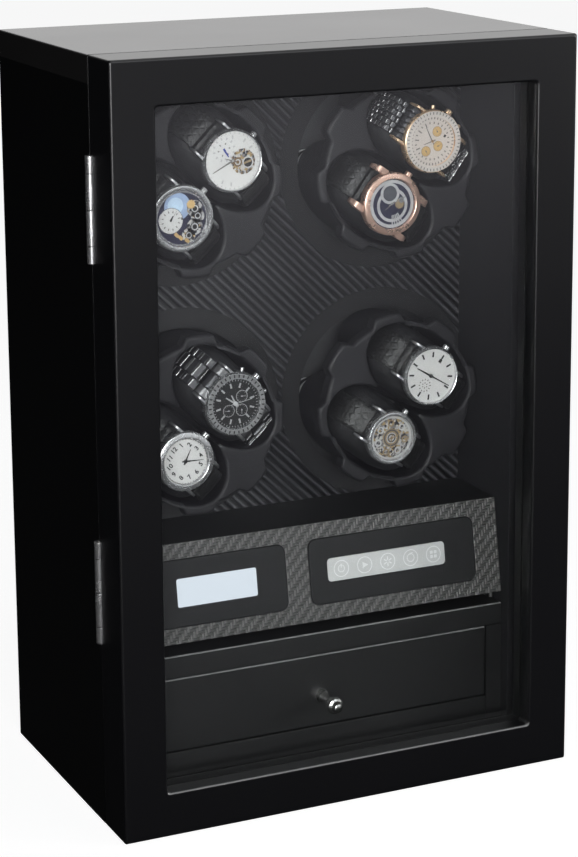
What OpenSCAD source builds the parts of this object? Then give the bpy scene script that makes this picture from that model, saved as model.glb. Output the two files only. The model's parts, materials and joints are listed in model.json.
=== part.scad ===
// Watch winder cabinet: four twin-pocket turntables over a control console and a drawer,
// behind a glazed door. Millimetres, +X right, -Y to the front, +Z up.
// The origin is the middle of the base, under the closed door and the cabinet together.

/* [Cabinet] */
// Width over the side panels
box_w = 330; // [328:1:400]
// Depth over the closed door and the cabinet
box_d = 210; // [202:1:280]
// Height
box_h = 508; // [500:1:600]
// Thickness of the side, top and bottom boards
board_t = 18; // [15:0.5:19]
// Thickness of the rear panel
rear_t = 9; // [6:0.5:11]
// How far the rear panel sits in front of the boards' rear edges
rear_inset = 2; // [1:0.5:3]
// Width of the shoulder that the rear panel is screwed to
rear_lap = 6; // [5:0.5:8]
// Thickness of the lining board on each side wall
liner_t = 6; // [3:0.5:6.5]
// Gap between the closed door and the cabinet
door_gap = 1; // [0.6:0.1:2]

/* [Door] */
// Thickness of the door frame
door_t = 36; // [30:1:40]
// Width of each frame member, seen from the front
door_member = 30; // [24:1:34]
// Depth of the lip in front of the glass
glass_lip = 12; // [8:1:14]
// How far the glass reaches behind the lip
glass_overlap = 8; // [5:1:10]
// Thickness of the glass
glass_t = 4; // [3:0.5:5]
// Depth of the bead that holds the glass
bead_t = 8; // [5:1:10]
// Width of the bead
bead_w = 7; // [4:0.5:9]

/* [Hinges] */
// Length of each hinge
hinge_len = 69; // [50:1:90]
// Distance from the top of the box to the upper hinge's middle
hinge_from_top = 97; // [80:1:140]
// Height of the lower hinge's middle
hinge_from_base = 160.5; // [80:0.5:180]
// Radius of the hinge barrel
barrel_r = 3; // [2.6:0.1:3.6]
// Radius of the hinge pin
hinge_pin_r = 1.5; // [1:0.1:1.8]
// Thickness of a hinge leaf
leaf_t = 1.5; // [1:0.1:2]
// Width of a hinge leaf from the pin's axis
leaf_w = 16; // [12:0.5:20]
// Radius of a door magnet and of its strike disc
magnet_r = 6; // [4:0.5:8]
// Thickness of a door magnet and of its strike disc
magnet_t = 4; // [2:0.5:5]

/* [Turntables] */
// Gap between a turntable's lobes and the lining board beside it
wall_gap = 3.5; // [3:0.5:6]
// Gap between the lobes of the left and right turntables
mid_gap = 25; // [20:0.5:32]
// Depth of the dips between a turntable's lobes
dip = 6; // [4:0.5:6]
// Number of lobes
lobes = 8; // [6:1:12]
// Thickness of the turntable's flange
flange_t = 10; // [6:0.5:14]
// Distance from the front of the flange to the fascia
flange_reach = 35; // [30:1:38]
// Half width of a pocket along the line of the pair, as a share of the turntable's radius
pocket_width = 0.44; // [0.41:0.005:0.45]
// Half length of a pocket, as a share of the turntable's radius
pocket_length = 0.72; // [0.68:0.005:0.73]
// Distance of a pocket's middle from the axis, as a share of the turntable's radius
pocket_place = 0.4048; // [0.39:0.0008:0.41]
// Depth of a pocket
pocket_depth = 42.5; // [40:0.5:45]
// Thickness of a pocket's wall and floor
cup_t = 2.5; // [1.5:0.1:2.8]
// Rest angle of the pair of pockets on the left turntables
pair_angle_left = 44; // [0:1:90]
// Rest angle of the pair of pockets on the right turntables
pair_angle_right = 53; // [0:1:90]

/* [Winder drive] */
// Depth from the cabinet's front edge to the fascia
fascia_depth = 78; // [74:1:84]
// Thickness of the fascia
fascia_t = 4; // [3:0.5:5]
// How far the lobes reach over the edge of the fascia's openings
hole_lap = 2.5; // [1:0.5:3]
// Distance from the fascia to the drive deck
deck_gap = 24; // [22:1:28]
// Thickness of the drive deck
deck_t = 8; // [6:0.5:10]
// Radius of a turntable spindle
spindle_r = 4; // [3:0.1:5]
// Radial running clearance of a shaft in its bearing
run_fit = 0.05; // [0.02:0.01:0.09]
// Outer radius of a spindle bearing
bush_r = 8; // [6:0.5:9]
// Radius of the belt's seat on the spindle pulley
big_pulley_r = 20; // [16:0.5:22]
// Radius of the belt's seat on the motor pulley
small_pulley_r = 6; // [5:0.5:8]
// Distance between the spindle and its motor
belt_span = 44; // [40:0.5:46]
// Thickness of a drive belt
belt_t = 1.5; // [1:0.1:2]
// Width of a drive belt
belt_w = 6; // [4:0.5:6.5]
// Radius of a gear motor
motor_r = 16; // [12:0.5:17]
// Length of a gear motor
motor_len = 26; // [18:1:30]
// Radius of a motor shaft
motor_shaft_r = 2; // [1.5:0.1:3]

/* [Console and drawer] */
// Distance from the cabinet's front edge to the drawer housing
housing_set = 13; // [10:0.5:14]
// Height of the plinth rail over the bottom board
plinth_h = 17; // [12:1:22]
// Height of the drawer opening
drawer_h = 52; // [44:1:56]
// Thickness of the shelf over the drawer
shelf_t = 16; // [12:1:18]
// Thickness of each cheek beside the drawer
cheek_t = 12; // [9:0.5:14]
// Thickness of the drawer front
drawer_front_t = 12; // [9:1:15]
// Thickness of the drawer's side and back boards
drawer_board = 9; // [7:0.5:12]
// Thickness of the drawer's bottom board
drawer_floor = 4; // [3:0.5:6]
// Gap round the drawer front
drawer_gap = 0.5; // [0.4:0.1:1.5]
// How far the drawer pulls out
drawer_travel = 90; // [50:5:90]
// Thickness of the soft lining in the drawer
lining_t = 2; // [1:0.5:4]
// Length of the knob
knob_len = 28; // [18:1:29]
// Radius of the knob's ring
knob_r = 6; // [5:0.5:8]
// Height of the knob above the drawer opening's lower edge
knob_rise = 22; // [16:1:30]
// Gap between the shelf and the console panel
console_gap = 8; // [6:0.5:10]
// Height of the sloping console panel
console_h = 66.5; // [60:0.5:70]
// How far the console panel leans back over its height
console_lean = 11; // [6:0.5:16]
// Thickness of the console panel
console_t = 3; // [2:0.5:4]
// Height of the two bezels along the slope
bezel_h = 45.7; // [40:0.1:48]
// Distance from the lining board to the end of each bezel
bezel_margin = 19.5; // [12:0.5:24]
// Gap between the two bezels
bezel_gap = 17; // [8:1:20]
// Width of the display bezel as a share of the two bezels' widths
bezel_share = 0.434; // [0.4:0.002:0.46]
// Thickness of the bezels
bezel_t = 4; // [3.6:0.1:5]
// Distance from the display to each end of its bezel, on average
display_margin = 19.8; // [14:0.1:24]
// Height of the display
display_h = 19.5; // [14:0.5:26]
// Distance from the key strip to each end of its bezel, on average
key_margin = 18.5; // [12:0.5:24]
// Height of the key strip
key_h = 16.5; // [12:0.5:24]

/* [Contents] */
// Gap between the two watch cases on a turntable
watch_gap = 6.6; // [5:0.1:12]
// Thickness of a watch case
watch_t = 11.5; // [8:0.5:13]
// Distance that a watch's face stands in front of the flange
watch_stand = 20; // [16:0.5:22]
// How much narrower a strap is than the case's radius
strap_less = 2; // [1:0.1:4]
// Thickness of a watch strap
strap_t = 3.2; // [2:0.1:3.6]
// Distance from each end of a cushion to the pocket's end
cushion_gap = 9; // [8:0.5:12]

/* [Hidden] */

$fn = 64;
eps = 0.01;
soft_gap = 0.3;

// Planes from front to back
front_y = -box_d / 2;
glass_y = front_y + glass_lip;
door_back_y = front_y + door_t;
cab_y = door_back_y + door_gap;
back_y = box_d / 2;
rear_out_y = back_y - rear_inset;
rear_in_y = rear_out_y - rear_t;
housing_y = cab_y + housing_set;
liner_y = cab_y + 4;
fascia_y = cab_y + fascia_depth;
flange_y = fascia_y - flange_reach;
pocket_floor_y = flange_y + pocket_depth;
cup_back_y = pocket_floor_y + cup_t;
hub_len = 6;
hub_back_y = cup_back_y + hub_len;
deck_y = fascia_y + fascia_t + deck_gap;
deck_back_y = deck_y + deck_t;

// Widths, from the middle
half_w = box_w / 2;
wall_x = half_w - board_t;
inner_x = wall_x - liner_t;
cheek_x = inner_x - cheek_t;

// Heights
floor_z = board_t;
ceiling_z = box_h - board_t;
drawer_z = floor_z + plinth_h;
shelf_z = drawer_z + drawer_h;
shelf_top_z = shelf_z + shelf_t;
console_z = shelf_top_z + console_gap;
console_top_z = console_z + console_h;

// Turntables: their radius fills the width, and the free height is parted under, between and over them
lobe_r = (2 * inner_x - 2 * wall_gap - mid_gap) / 4;
axis_x = inner_x - wall_gap - lobe_r;
waist_r = lobe_r - dip;
fascia_hole_r = lobe_r - hole_lap;
pocket_a = lobe_r * pocket_width;
pocket_b = lobe_r * pocket_length;
pocket_off = lobe_r * pocket_place;
under_part = 10;
between_part = 38;
over_part = 14.5;
free_unit = (ceiling_z - console_top_z - 4 * lobe_r) / (under_part + between_part + over_part);
low_axis_z = console_top_z + free_unit * under_part + lobe_r;
high_axis_z = ceiling_z - free_unit * over_part - lobe_r;
watch_r = pocket_off - watch_gap / 2;
strap_w = watch_r - strap_less;
cushion_len = 2 * (pocket_b - cushion_gap);

// Door and hinges
rebate = door_member - glass_overlap;
glass_fit = 0.5;
hinge_x = -half_w;
hinge_y = (door_back_y + cab_y) / 2;
hinge_zs = [hinge_from_base, box_h - hinge_from_top];
leaf_gap = 0.3;
barrel_clear = 0.4;
knuckle_share = [0, 1, 3, 5, 6] / 6;
magnet_zs = [box_h * 0.2, box_h * 0.8];

// Console plane
console_angle = atan(console_lean / console_h);
slope_len = norm([console_lean, console_h]);
bezel_mid = slope_len / 2;
bezels_w = 2 * (inner_x - bezel_margin);
display_bezel_w = (bezels_w - bezel_gap) * bezel_share;
key_bezel_w = bezels_w - bezel_gap - display_bezel_w;
display_w = display_bezel_w - 2 * display_margin;
key_w = key_bezel_w - 2 * key_margin;
display_bezel_x = -bezels_w / 2 + display_bezel_w / 2;
key_bezel_x = bezels_w / 2 - key_bezel_w / 2;
display_x = display_bezel_x - 2;
key_x = key_bezel_x - 5;
board_gap = 5;

// Drive
pulley_gap = 1;
pulley_w = belt_w + 2;
pulley_y = hub_back_y + pulley_gap;
rim_h = 2.5;
bush_flange_t = 2;
collar_t = 3;
motor_boss_r = 7;
belt_clear = 0.3;

// Watch and cushion, seen from the turntable's face
face_y = flange_y - watch_stand;
case_back_y = face_y + watch_t;
cushion_back_y = pocket_floor_y - strap_t - soft_gap;
cushion_round = 16;
crown_r = 3;
crown_len = 3.5;
lug_w = 3.5;
lug_reach = 3.5;

// Left and right turntables, lower and upper
function side_x(side) = side * axis_x;
function row_z(row) = row > 0 ? high_axis_z : low_axis_z;
function pair_angle(side) = side > 0 ? pair_angle_right : pair_angle_left;
function motor_x(side) = side_x(side) - side * belt_span;

// Outlines
function ellipse_points(a, b, n = 72) = [for (i = [0:n - 1]) [a * cos(360 * i / n), b * sin(360 * i / n)]];
function soft_step(x) = let (t = min(1, max(0, x))) t * t * (3 - 2 * t);
lobe_flank = 1.3;
lobe_points = [
  for (i = [0:24 * lobes - 1])
    let (t = i * 15 / lobes, r = waist_r + (lobe_r - waist_r) * soft_step(0.5 + lobe_flank * cos(lobes * t)))
    [r * cos(t), r * sin(t)]
];
function corner_points(x, y, r, from, n = 6) =
  [for (i = [0:n]) [x + r * cos(from + 90 * i / n), y + r * sin(from + 90 * i / n)]];
function rounded_points(w, h, r) = concat(
  corner_points(w / 2 - r, h / 2 - r, r, 0),
  corner_points(-w / 2 + r, h / 2 - r, r, 90),
  corner_points(-w / 2 + r, -h / 2 + r, r, 180),
  corner_points(w / 2 - r, -h / 2 + r, r, 270)
);
// A loop round a large circle at the origin and a small one at distance d along +X
function loop_points(r_big, r_small, d, n = 24) = let (a = acos((r_big - r_small) / d)) concat(
  [for (i = [0:n]) let (t = a + (360 - 2 * a) * i / n) r_big * [cos(t), sin(t)]],
  [for (i = [0:n]) let (t = -a + 2 * a * i / n) [d, 0] + r_small * [cos(t), sin(t)]]
);

// Helpers
module block(lo, hi) { translate(lo) cube(hi - lo); }
module rod_y(r, y0, y1) { translate([0, y1, 0]) rotate([90, 0, 0]) cylinder(r = r, h = y1 - y0); }
module plate_y(y0, y1) { translate([0, y1, 0]) rotate([90, 0, 0]) linear_extrude(y1 - y0) children(); }
module bar_x(w) { rotate([90, 0, 90]) linear_extrude(w, center = true) children(); }
module both_sides() { children(); mirror([1, 0, 0]) children(); }
module at_axes() { for (side = [-1, 1], row = [0, 1]) translate([side_x(side), 0, row_z(row)]) children(); }
module at_motors() { for (side = [-1, 1], row = [0, 1]) translate([motor_x(side), 0, row_z(row)]) children(); }
module at_axis(side, row) { translate([side_x(side), 0, row_z(row)]) children(); }
module on_turntable(side, row) { at_axis(side, row) rotate([0, -pair_angle(side), 0]) children(); }
module at_pockets() { for (s = [-1, 1]) translate([s * pocket_off, 0, 0]) children(); }
module on_console() { translate([0, housing_y, console_z]) rotate([90 - console_angle, 0, 0]) children(); }

// Carcass
module hinge_relief() {
  for (z = hinge_zs) translate([hinge_x, hinge_y, z - hinge_len / 2 - barrel_clear])
    cylinder(r = barrel_r + barrel_clear, h = hinge_len + 2 * barrel_clear);
}
module leaf_recess(y0, y1) {
  for (z = hinge_zs) block([hinge_x - eps, y0, z - hinge_len / 2], [hinge_x + leaf_w, y1, z + hinge_len / 2]);
}
module rear_rebate() {
  block([-wall_x - rear_lap, rear_in_y, floor_z - rear_lap], [wall_x + rear_lap, back_y + eps, ceiling_z + rear_lap]);
}
screw_r = 1.5;
screw_len = 22;
screw_x = wall_x + rear_lap / 2;
screw_zs = [for (k = [0:3]) box_h * (0.12 + 0.76 * k / 3)];
module at_screws() { for (z = screw_zs, s = [-1, 1]) translate([s * screw_x, 0, z]) children(); }
module screw_holes() { at_screws() rod_y(screw_r, rear_out_y - screw_len, back_y); }
strike_x = half_w - board_t / 2;
module at_magnets() { for (z = magnet_zs) translate([strike_x, 0, z]) children(); }

module side_panel(side) {
  difference() {
    block([side > 0 ? wall_x : -half_w, cab_y, floor_z], [side > 0 ? half_w : -wall_x, back_y, ceiling_z]);
    rear_rebate();
    screw_holes();
    if (side < 0) hinge_relief();
    if (side < 0) leaf_recess(cab_y - eps, leaf_back_y);
    if (side > 0) at_magnets() rod_y(magnet_r, cab_y - eps, cab_y + magnet_t);
  }
}
module side_panel_left() { color("#0d0d0f") side_panel(-1); }
module side_panel_right() { color("#0d0d0f") side_panel(1); }
module top_panel() {
  color("#1b1b1d") difference() {
    block([-half_w, cab_y, ceiling_z], [half_w, back_y, box_h]);
    rear_rebate();
  }
}
module bottom_panel() {
  color("#0d0d0f") difference() {
    block([-half_w, cab_y, 0], [half_w, back_y, floor_z]);
    rear_rebate();
  }
}
inlet_r = 2.8;
inlet_depth = 9.5;
inlet_body_r = 6;
inlet_from_liner = 25;
inlet_rise = 22;
inlet_x = inner_x - inlet_from_liner;
inlet_z = shelf_top_z + inlet_rise;
inlet_flange_r = 8;
inlet_flange_t = 1.5;
module rear_panel() {
  color("#151516") difference() {
    block([-wall_x - rear_lap, rear_in_y, floor_z - rear_lap], [wall_x + rear_lap, rear_out_y, ceiling_z + rear_lap]);
    screw_holes();
    at_screws() rod_y(2 * screw_r, rear_out_y - 1.5, back_y);
    translate([inlet_x, 0, inlet_z]) rod_y(inlet_body_r, rear_in_y - eps, back_y);
  }
}
module rear_panel_screws() {
  color("silver") at_screws() {
    rod_y(screw_r, rear_out_y - screw_len, rear_out_y);
    rod_y(2 * screw_r, rear_out_y - 1.5, rear_out_y);
  }
}
module power_inlet() {
  color("#202020") translate([inlet_x, 0, inlet_z]) difference() {
    union() {
      rod_y(inlet_body_r, rear_in_y - 4, rear_out_y);
      rod_y(inlet_flange_r, rear_out_y, rear_out_y + inlet_flange_t);
    }
    rod_y(inlet_r, rear_out_y + inlet_flange_t - inlet_depth, back_y);
  }
}
module side_liners() {
  color("#1a1a1c") both_sides() block([inner_x, liner_y, floor_z], [wall_x, rear_in_y, ceiling_z]);
}

// Turntable wall and drive
module fascia() {
  color("#2e2e33") difference() {
    block([-inner_x, fascia_y, shelf_top_z], [inner_x, fascia_y + fascia_t, ceiling_z]);
    at_axes() rod_y(fascia_hole_r, fascia_y - eps, fascia_y + fascia_t + eps);
  }
}
module drive_deck() {
  color("#3a3a3a") difference() {
    block([-inner_x, deck_y, shelf_top_z], [inner_x, deck_back_y, ceiling_z]);
    at_axes() rod_y(bush_r, deck_y - eps, deck_back_y + eps);
    at_motors() rod_y(motor_boss_r, deck_y - eps, deck_back_y + eps);
  }
}
module spindle_bearings() {
  color("#b08d57") at_axes() difference() {
    union() {
      rod_y(bush_r, deck_y, deck_back_y + 4);
      rod_y(bush_r + 3, deck_y - bush_flange_t, deck_y);
    }
    rod_y(spindle_r + run_fit, deck_y - bush_flange_t - eps, deck_back_y + 4 + eps);
  }
}
module belt_loop(side) {
  plate_y(pulley_y + (pulley_w - belt_w) / 2, pulley_y + (pulley_w + belt_w) / 2)
    mirror([side > 0 ? 1 : 0, 0]) difference() {
      polygon(loop_points(big_pulley_r + belt_clear + belt_t, small_pulley_r + belt_clear + belt_t, belt_span));
      polygon(loop_points(big_pulley_r + belt_clear, small_pulley_r + belt_clear, belt_span));
    }
}
module drive_belts() { color("#111111") for (side = [-1, 1], row = [0, 1]) at_axis(side, row) belt_loop(side); }
motor_shaft_in = 12;
module gear_motors() {
  color("#8a8d90") at_motors() difference() {
    union() {
      rod_y(motor_r, deck_back_y, deck_back_y + motor_len);
      rod_y(motor_boss_r, deck_y, deck_back_y);
    }
    rod_y(motor_shaft_r + run_fit, deck_y - eps, deck_back_y + motor_shaft_in + 1);
  }
}
module pulley(r, shaft_r, shaft_end_y) {
  rod_y(r, pulley_y, pulley_y + pulley_w);
  for (y = [pulley_y, pulley_y + pulley_w - 1]) rod_y(r + rim_h, y, y + 1);
  rod_y(shaft_r, pulley_y + pulley_w, shaft_end_y);
}
module spindle(side, row) {
  color("#c4c6c8") at_axis(side, row) {
    rod_y(spindle_r, cup_back_y, pulley_y);
    pulley(big_pulley_r, spindle_r, deck_back_y + 8);
    rod_y(spindle_r + 3, deck_back_y + 4.5, deck_back_y + 4.5 + collar_t);
  }
}
module motor_pulley(side, row) {
  color("#d8d8d8") translate([motor_x(side), 0, row_z(row)])
    pulley(small_pulley_r, motor_shaft_r, deck_back_y + motor_shaft_in);
}

// Turntables
module pocket_shape(grow) { polygon(ellipse_points(pocket_a + grow, pocket_b + grow)); }
module turntable(side, row) {
  color("#3f3f43") on_turntable(side, row) difference() {
    union() {
      plate_y(flange_y, flange_y + flange_t) polygon(lobe_points);
      at_pockets() plate_y(flange_y + flange_t / 2, cup_back_y) pocket_shape(cup_t);
      rod_y(3.5 * spindle_r, cup_back_y - cup_t, hub_back_y);
    }
    at_pockets() plate_y(flange_y - eps, pocket_floor_y) pocket_shape(0);
    rod_y(spindle_r, cup_back_y, hub_back_y + eps);
  }
}
// The side view of a cushion grown by a thickness: x is depth and y runs from six to twelve
module cushion_side(grow) {
  translate([(case_back_y + cushion_back_y) / 2, 0])
    polygon(rounded_points(cushion_back_y - case_back_y + 2 * grow, cushion_len + 2 * grow, cushion_round + grow));
}
module cushions(side, row) {
  color("#19191b") on_turntable(side, row) difference() {
    at_pockets() intersection() {
      plate_y(case_back_y - 1, cushion_back_y + 1) pocket_shape(-soft_gap);
      bar_x(2 * pocket_a) cushion_side(0);
    }
    block([-soft_gap, face_y, -pocket_b], [soft_gap, cup_back_y, pocket_b]);
  }
}
module watch() {
  case_end_y = case_back_y - 0.4;
  rod_y(watch_r, face_y, case_end_y);
  translate([watch_r - 1, (face_y + case_end_y) / 2, 0]) rotate([0, 90, 0]) cylinder(r = crown_r, h = crown_len + 1);
  for (s = [-1, 1], t = [-1, 1]) translate([s * (strap_w + lug_w - 1) / 2, 0, t * watch_r * 0.95])
    block([-lug_w / 2, face_y + 3, -lug_reach], [lug_w / 2, case_end_y - 0.5, lug_reach]);
  difference() {
    bar_x(strap_w) difference() { cushion_side(strap_t); cushion_side(0); }
    block([-strap_w, face_y - 1, -watch_r * 0.9], [strap_w, case_back_y + 1, watch_r * 0.9]);
  }
}
module watches(side, row) { color("#b8babd") on_turntable(side, row) at_pockets() watch(); }

// Console, shelf and drawer housing
module drawer_shelf() {
  color("#1a1a1c") block([-inner_x, housing_y, shelf_z], [inner_x, rear_in_y, shelf_top_z]);
}
module drawer_cheeks() {
  color("#1a1a1c") both_sides() block([cheek_x, housing_y, floor_z], [inner_x, rear_in_y, shelf_z]);
}
module plinth_rail() {
  color("#1a1a1c") block([-cheek_x, housing_y, floor_z], [cheek_x, housing_y + drawer_front_t, drawer_z]);
}
console_end = inner_x - soft_gap;
module console_panel() {
  bevel_back = console_t / cos(console_angle);
  profile = [
    [housing_y, console_z], [housing_y + console_lean, console_top_z], [fascia_y, console_top_z],
    [fascia_y, console_top_z - console_t], [housing_y + console_lean + bevel_back, console_top_z - console_t],
    [housing_y + bevel_back + console_t * tan(console_angle), console_z + console_t],
    [housing_y + 12, console_z + console_t], [housing_y + 12, console_z]
  ];
  color("#4a4a4e") {
    difference() {
      bar_x(2 * console_end) polygon(profile);
      on_console() {
        bezel_outline(display_bezel_x, display_bezel_w, -4 * console_t, 2 * console_t);
        bezel_outline(key_bezel_x, key_bezel_w, -4 * console_t, 2 * console_t);
      }
    }
    both_sides() translate([console_end - console_t / 2, 0, 0]) bar_x(console_t) polygon([
      [housing_y + 12, shelf_top_z], [housing_y + 12 + console_lean, console_top_z - console_t],
      [fascia_y, console_top_z - console_t], [fascia_y, shelf_top_z]
    ]);
  }
}
bezel_proud = 0.8;
bezel_corner = 6;
module bezel_outline(x, w, z0, z1) {
  translate([x, bezel_mid, z0]) linear_extrude(z1 - z0) polygon(rounded_points(w, bezel_h, bezel_corner));
}
module window(x, w, h, r, z0, z1) {
  translate([x, bezel_mid, z0]) linear_extrude(z1 - z0) polygon(rounded_points(w, h, r));
}
bezel_back = bezel_proud - bezel_t;
module display_bezel() {
  color("#26262a") on_console() difference() {
    bezel_outline(display_bezel_x, display_bezel_w, bezel_back, bezel_proud);
    window(display_x, display_w, display_h, 1.5, bezel_back - eps, bezel_proud + eps);
  }
}
module key_bezel() {
  color("#26262a") on_console() difference() {
    bezel_outline(key_bezel_x, key_bezel_w, bezel_back, bezel_proud);
    window(key_x, key_w, key_h, 3, bezel_back - eps, bezel_proud + eps);
  }
}
module display_module() {
  color("#c9d6e6") on_console() {
    window(display_x, display_w, display_h, 1.5, bezel_back, bezel_proud - 1);
    window(display_x, display_w + 8, display_h + 8, 1.5, bezel_back - board_gap, bezel_back);
  }
}
module key_strip() {
  color("#b9bbbf") on_console() {
    window(key_x, key_w, key_h, 3, bezel_back, bezel_proud - 0.2);
    window(key_x, key_w + 8, key_h + 8, 3, bezel_back - board_gap, bezel_back);
  }
}
module control_board() {
  color("#1f5a34") on_console() translate([0, bezel_mid, bezel_back - board_gap - 1.6])
    linear_extrude(1.6) square([bezels_w - 10, bezel_h - 6], center = true);
}
runner_w = 6.5;
runner_h = 8;
runner_z = drawer_z + drawer_h / 2;
drawer_set = 1;
runner_y = housing_y + drawer_set + drawer_front_t + drawer_gap;
runner_fit = 0.4;
module drawer_runners() {
  color("#c9b28a") both_sides()
    block([cheek_x - runner_w, runner_y, runner_z - runner_h / 2], [cheek_x, rear_in_y - 4, runner_z + runner_h / 2]);
}

// Drawer
drawer_y = housing_y + drawer_set;
tray_y = drawer_y + drawer_front_t;
tray_back_y = rear_in_y - 6;
tray_x = cheek_x - 2;
tray_z = drawer_z + 2;
tray_top_z = shelf_z - 4;
knob_z = drawer_z + knob_rise;
knob_hole_r = 2;
module drawer_front() {
  color("#17171a") difference() {
    block([-cheek_x + drawer_gap, drawer_y, drawer_z + drawer_gap], [cheek_x - drawer_gap, tray_y, shelf_z - drawer_gap]);
    translate([0, 0, knob_z]) rod_y(knob_hole_r, drawer_y - eps, tray_y + eps);
  }
}
module drawer_tray() {
  color("#2a2624") difference() {
    block([-tray_x, tray_y, tray_z], [tray_x, tray_back_y, tray_top_z]);
    block([-tray_x + drawer_board, tray_y + drawer_floor, tray_z + drawer_floor],
      [tray_x - drawer_board, tray_back_y - drawer_board, tray_top_z + eps]);
    both_sides() block([cheek_x - runner_w - runner_fit, tray_y - eps, runner_z - runner_h / 2 - runner_fit],
      [tray_x + eps, tray_back_y + eps, runner_z + runner_h / 2 + runner_fit]);
    translate([0, 0, knob_z]) rod_y(knob_hole_r, tray_y - eps, tray_y + drawer_floor + eps);
  }
}
module drawer_lining() {
  color("#3c3a3a") block([-tray_x + drawer_board + soft_gap, tray_y + drawer_floor + soft_gap, tray_z + drawer_floor],
    [tray_x - drawer_board - soft_gap, tray_back_y - drawer_board - soft_gap, tray_z + drawer_floor + lining_t]);
}
tip_r = 3.5;
module drawer_knob() {
  color("#d9d9dc") translate([0, drawer_y, knob_z]) rotate([90, 0, 0]) difference() {
    rotate_extrude() polygon([
      [0, 0], [tip_r + 1.5, 0], [tip_r + 1.5, 2], [tip_r - 0.5, 4], [tip_r - 0.5, knob_len - 13],
      [knob_r - 1, knob_len - 10], [knob_r, knob_len - 8.5], [knob_r, knob_len - 6], [knob_r - 1, knob_len - 4.5],
      [tip_r, knob_len - 4.5], [tip_r, knob_len - 1], [tip_r - 1, knob_len], [0, knob_len]
    ]);
    translate([0, 0, -eps]) cylinder(r = knob_hole_r, h = 10);
  }
}
module knob_screw() {
  color("silver") translate([0, 0, knob_z]) {
    rod_y(knob_hole_r, drawer_y - 9, tray_y + drawer_floor);
    rod_y(2 * knob_hole_r, tray_y + drawer_floor, tray_y + drawer_floor + 2);
  }
}

// Door
module door_frame() {
  difference() {
    block([-half_w, front_y, 0], [half_w, door_back_y, box_h]);
    block([-half_w + door_member, front_y - eps, door_member], [half_w - door_member, glass_y + eps, box_h - door_member]);
    block([-half_w + rebate, glass_y, rebate], [half_w - rebate, door_back_y + eps, box_h - rebate]);
    hinge_relief();
    leaf_recess(door_leaf_y, door_back_y + eps);
    at_magnets() rod_y(magnet_r, door_back_y - magnet_t, door_back_y + eps);
  }
}
// A frame member is the frame inside a wedge that is mitred at both ends
module mitre(points) { plate_y(front_y - 1, door_back_y + 1) polygon(points); }
m = door_member;
module stile(side) {
  intersection() {
    door_frame();
    mirror([side > 0 ? 0 : 1, 0, 0])
      mitre([[half_w, 0], [half_w, box_h], [half_w - m, box_h - m], [half_w - m, m]]);
  }
}
module door_stile_left() { color("#141417") stile(-1); }
module door_stile_right() { color("#141417") stile(1); }
module door_rail_top() {
  color("#1d1d21") intersection() {
    door_frame();
    mitre([[-half_w, box_h], [-half_w + m, box_h - m], [half_w - m, box_h - m], [half_w, box_h]]);
  }
}
module door_rail_bottom() {
  color("#0f0f12") intersection() {
    door_frame();
    mitre([[-half_w, 0], [half_w, 0], [half_w - m, m], [-half_w + m, m]]);
  }
}
glass_x = half_w - rebate - glass_fit;
glass_z = rebate + glass_fit;
module door_glass() {
  color("#9fb0c0", 0.3) block([-glass_x, glass_y, glass_z], [glass_x, glass_y + glass_t, box_h - glass_z]);
}
bead_y = glass_y + glass_t;
module glass_beads() {
  color("#141417") {
    both_sides() block([half_w - rebate - bead_w, bead_y, rebate], [half_w - rebate, bead_y + bead_t, box_h - rebate]);
    for (z = [rebate, box_h - rebate - bead_w])
      block([-half_w + rebate + bead_w, bead_y, z], [half_w - rebate - bead_w, bead_y + bead_t, z + bead_w]);
  }
}
module door_magnets() { color("silver") at_magnets() rod_y(magnet_r, door_back_y - magnet_t, door_back_y); }
module magnet_strikes() { color("silver") at_magnets() rod_y(magnet_r, cab_y, cab_y + magnet_t); }

// Hinges: knuckles 0 and 2 belong to the door, 1 and 3 to the cabinet
knuckle_gap = 0.3;
leaf_y = hinge_y + leaf_gap;
leaf_back_y = leaf_y + leaf_t;
door_leaf_y = hinge_y - leaf_gap - leaf_t;
module hinge_leaf(y0, y1, own, bore_r) {
  for (z = hinge_zs) translate([hinge_x, 0, z]) difference() {
    union() {
      block([barrel_r + barrel_clear, y0, -hinge_len / 2], [leaf_w, y1, hinge_len / 2]);
      for (k = own) {
        z0 = hinge_len * (knuckle_share[k] - 0.5) + knuckle_gap / 2;
        z1 = hinge_len * (knuckle_share[k + 1] - 0.5) - knuckle_gap / 2;
        translate([0, hinge_y, z0]) cylinder(r = barrel_r, h = z1 - z0);
        block([0, y0, z0], [barrel_r + barrel_clear + eps, y1, z1]);
      }
    }
    translate([0, hinge_y, -hinge_len]) cylinder(r = bore_r, h = 2 * hinge_len);
  }
}
module hinge_cabinet_leaves() { color("#cfcfd2") hinge_leaf(leaf_y, leaf_back_y, [0, 2], hinge_pin_r); }
module hinge_door_leaves() { color("#cfcfd2") hinge_leaf(door_leaf_y, hinge_y - leaf_gap, [1, 3], hinge_pin_r + run_fit); }
module hinge_pins() {
  color("#cfcfd2") for (z = hinge_zs) translate([hinge_x, hinge_y, z - hinge_len / 2])
    cylinder(r = hinge_pin_r, h = hinge_len);
}

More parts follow.
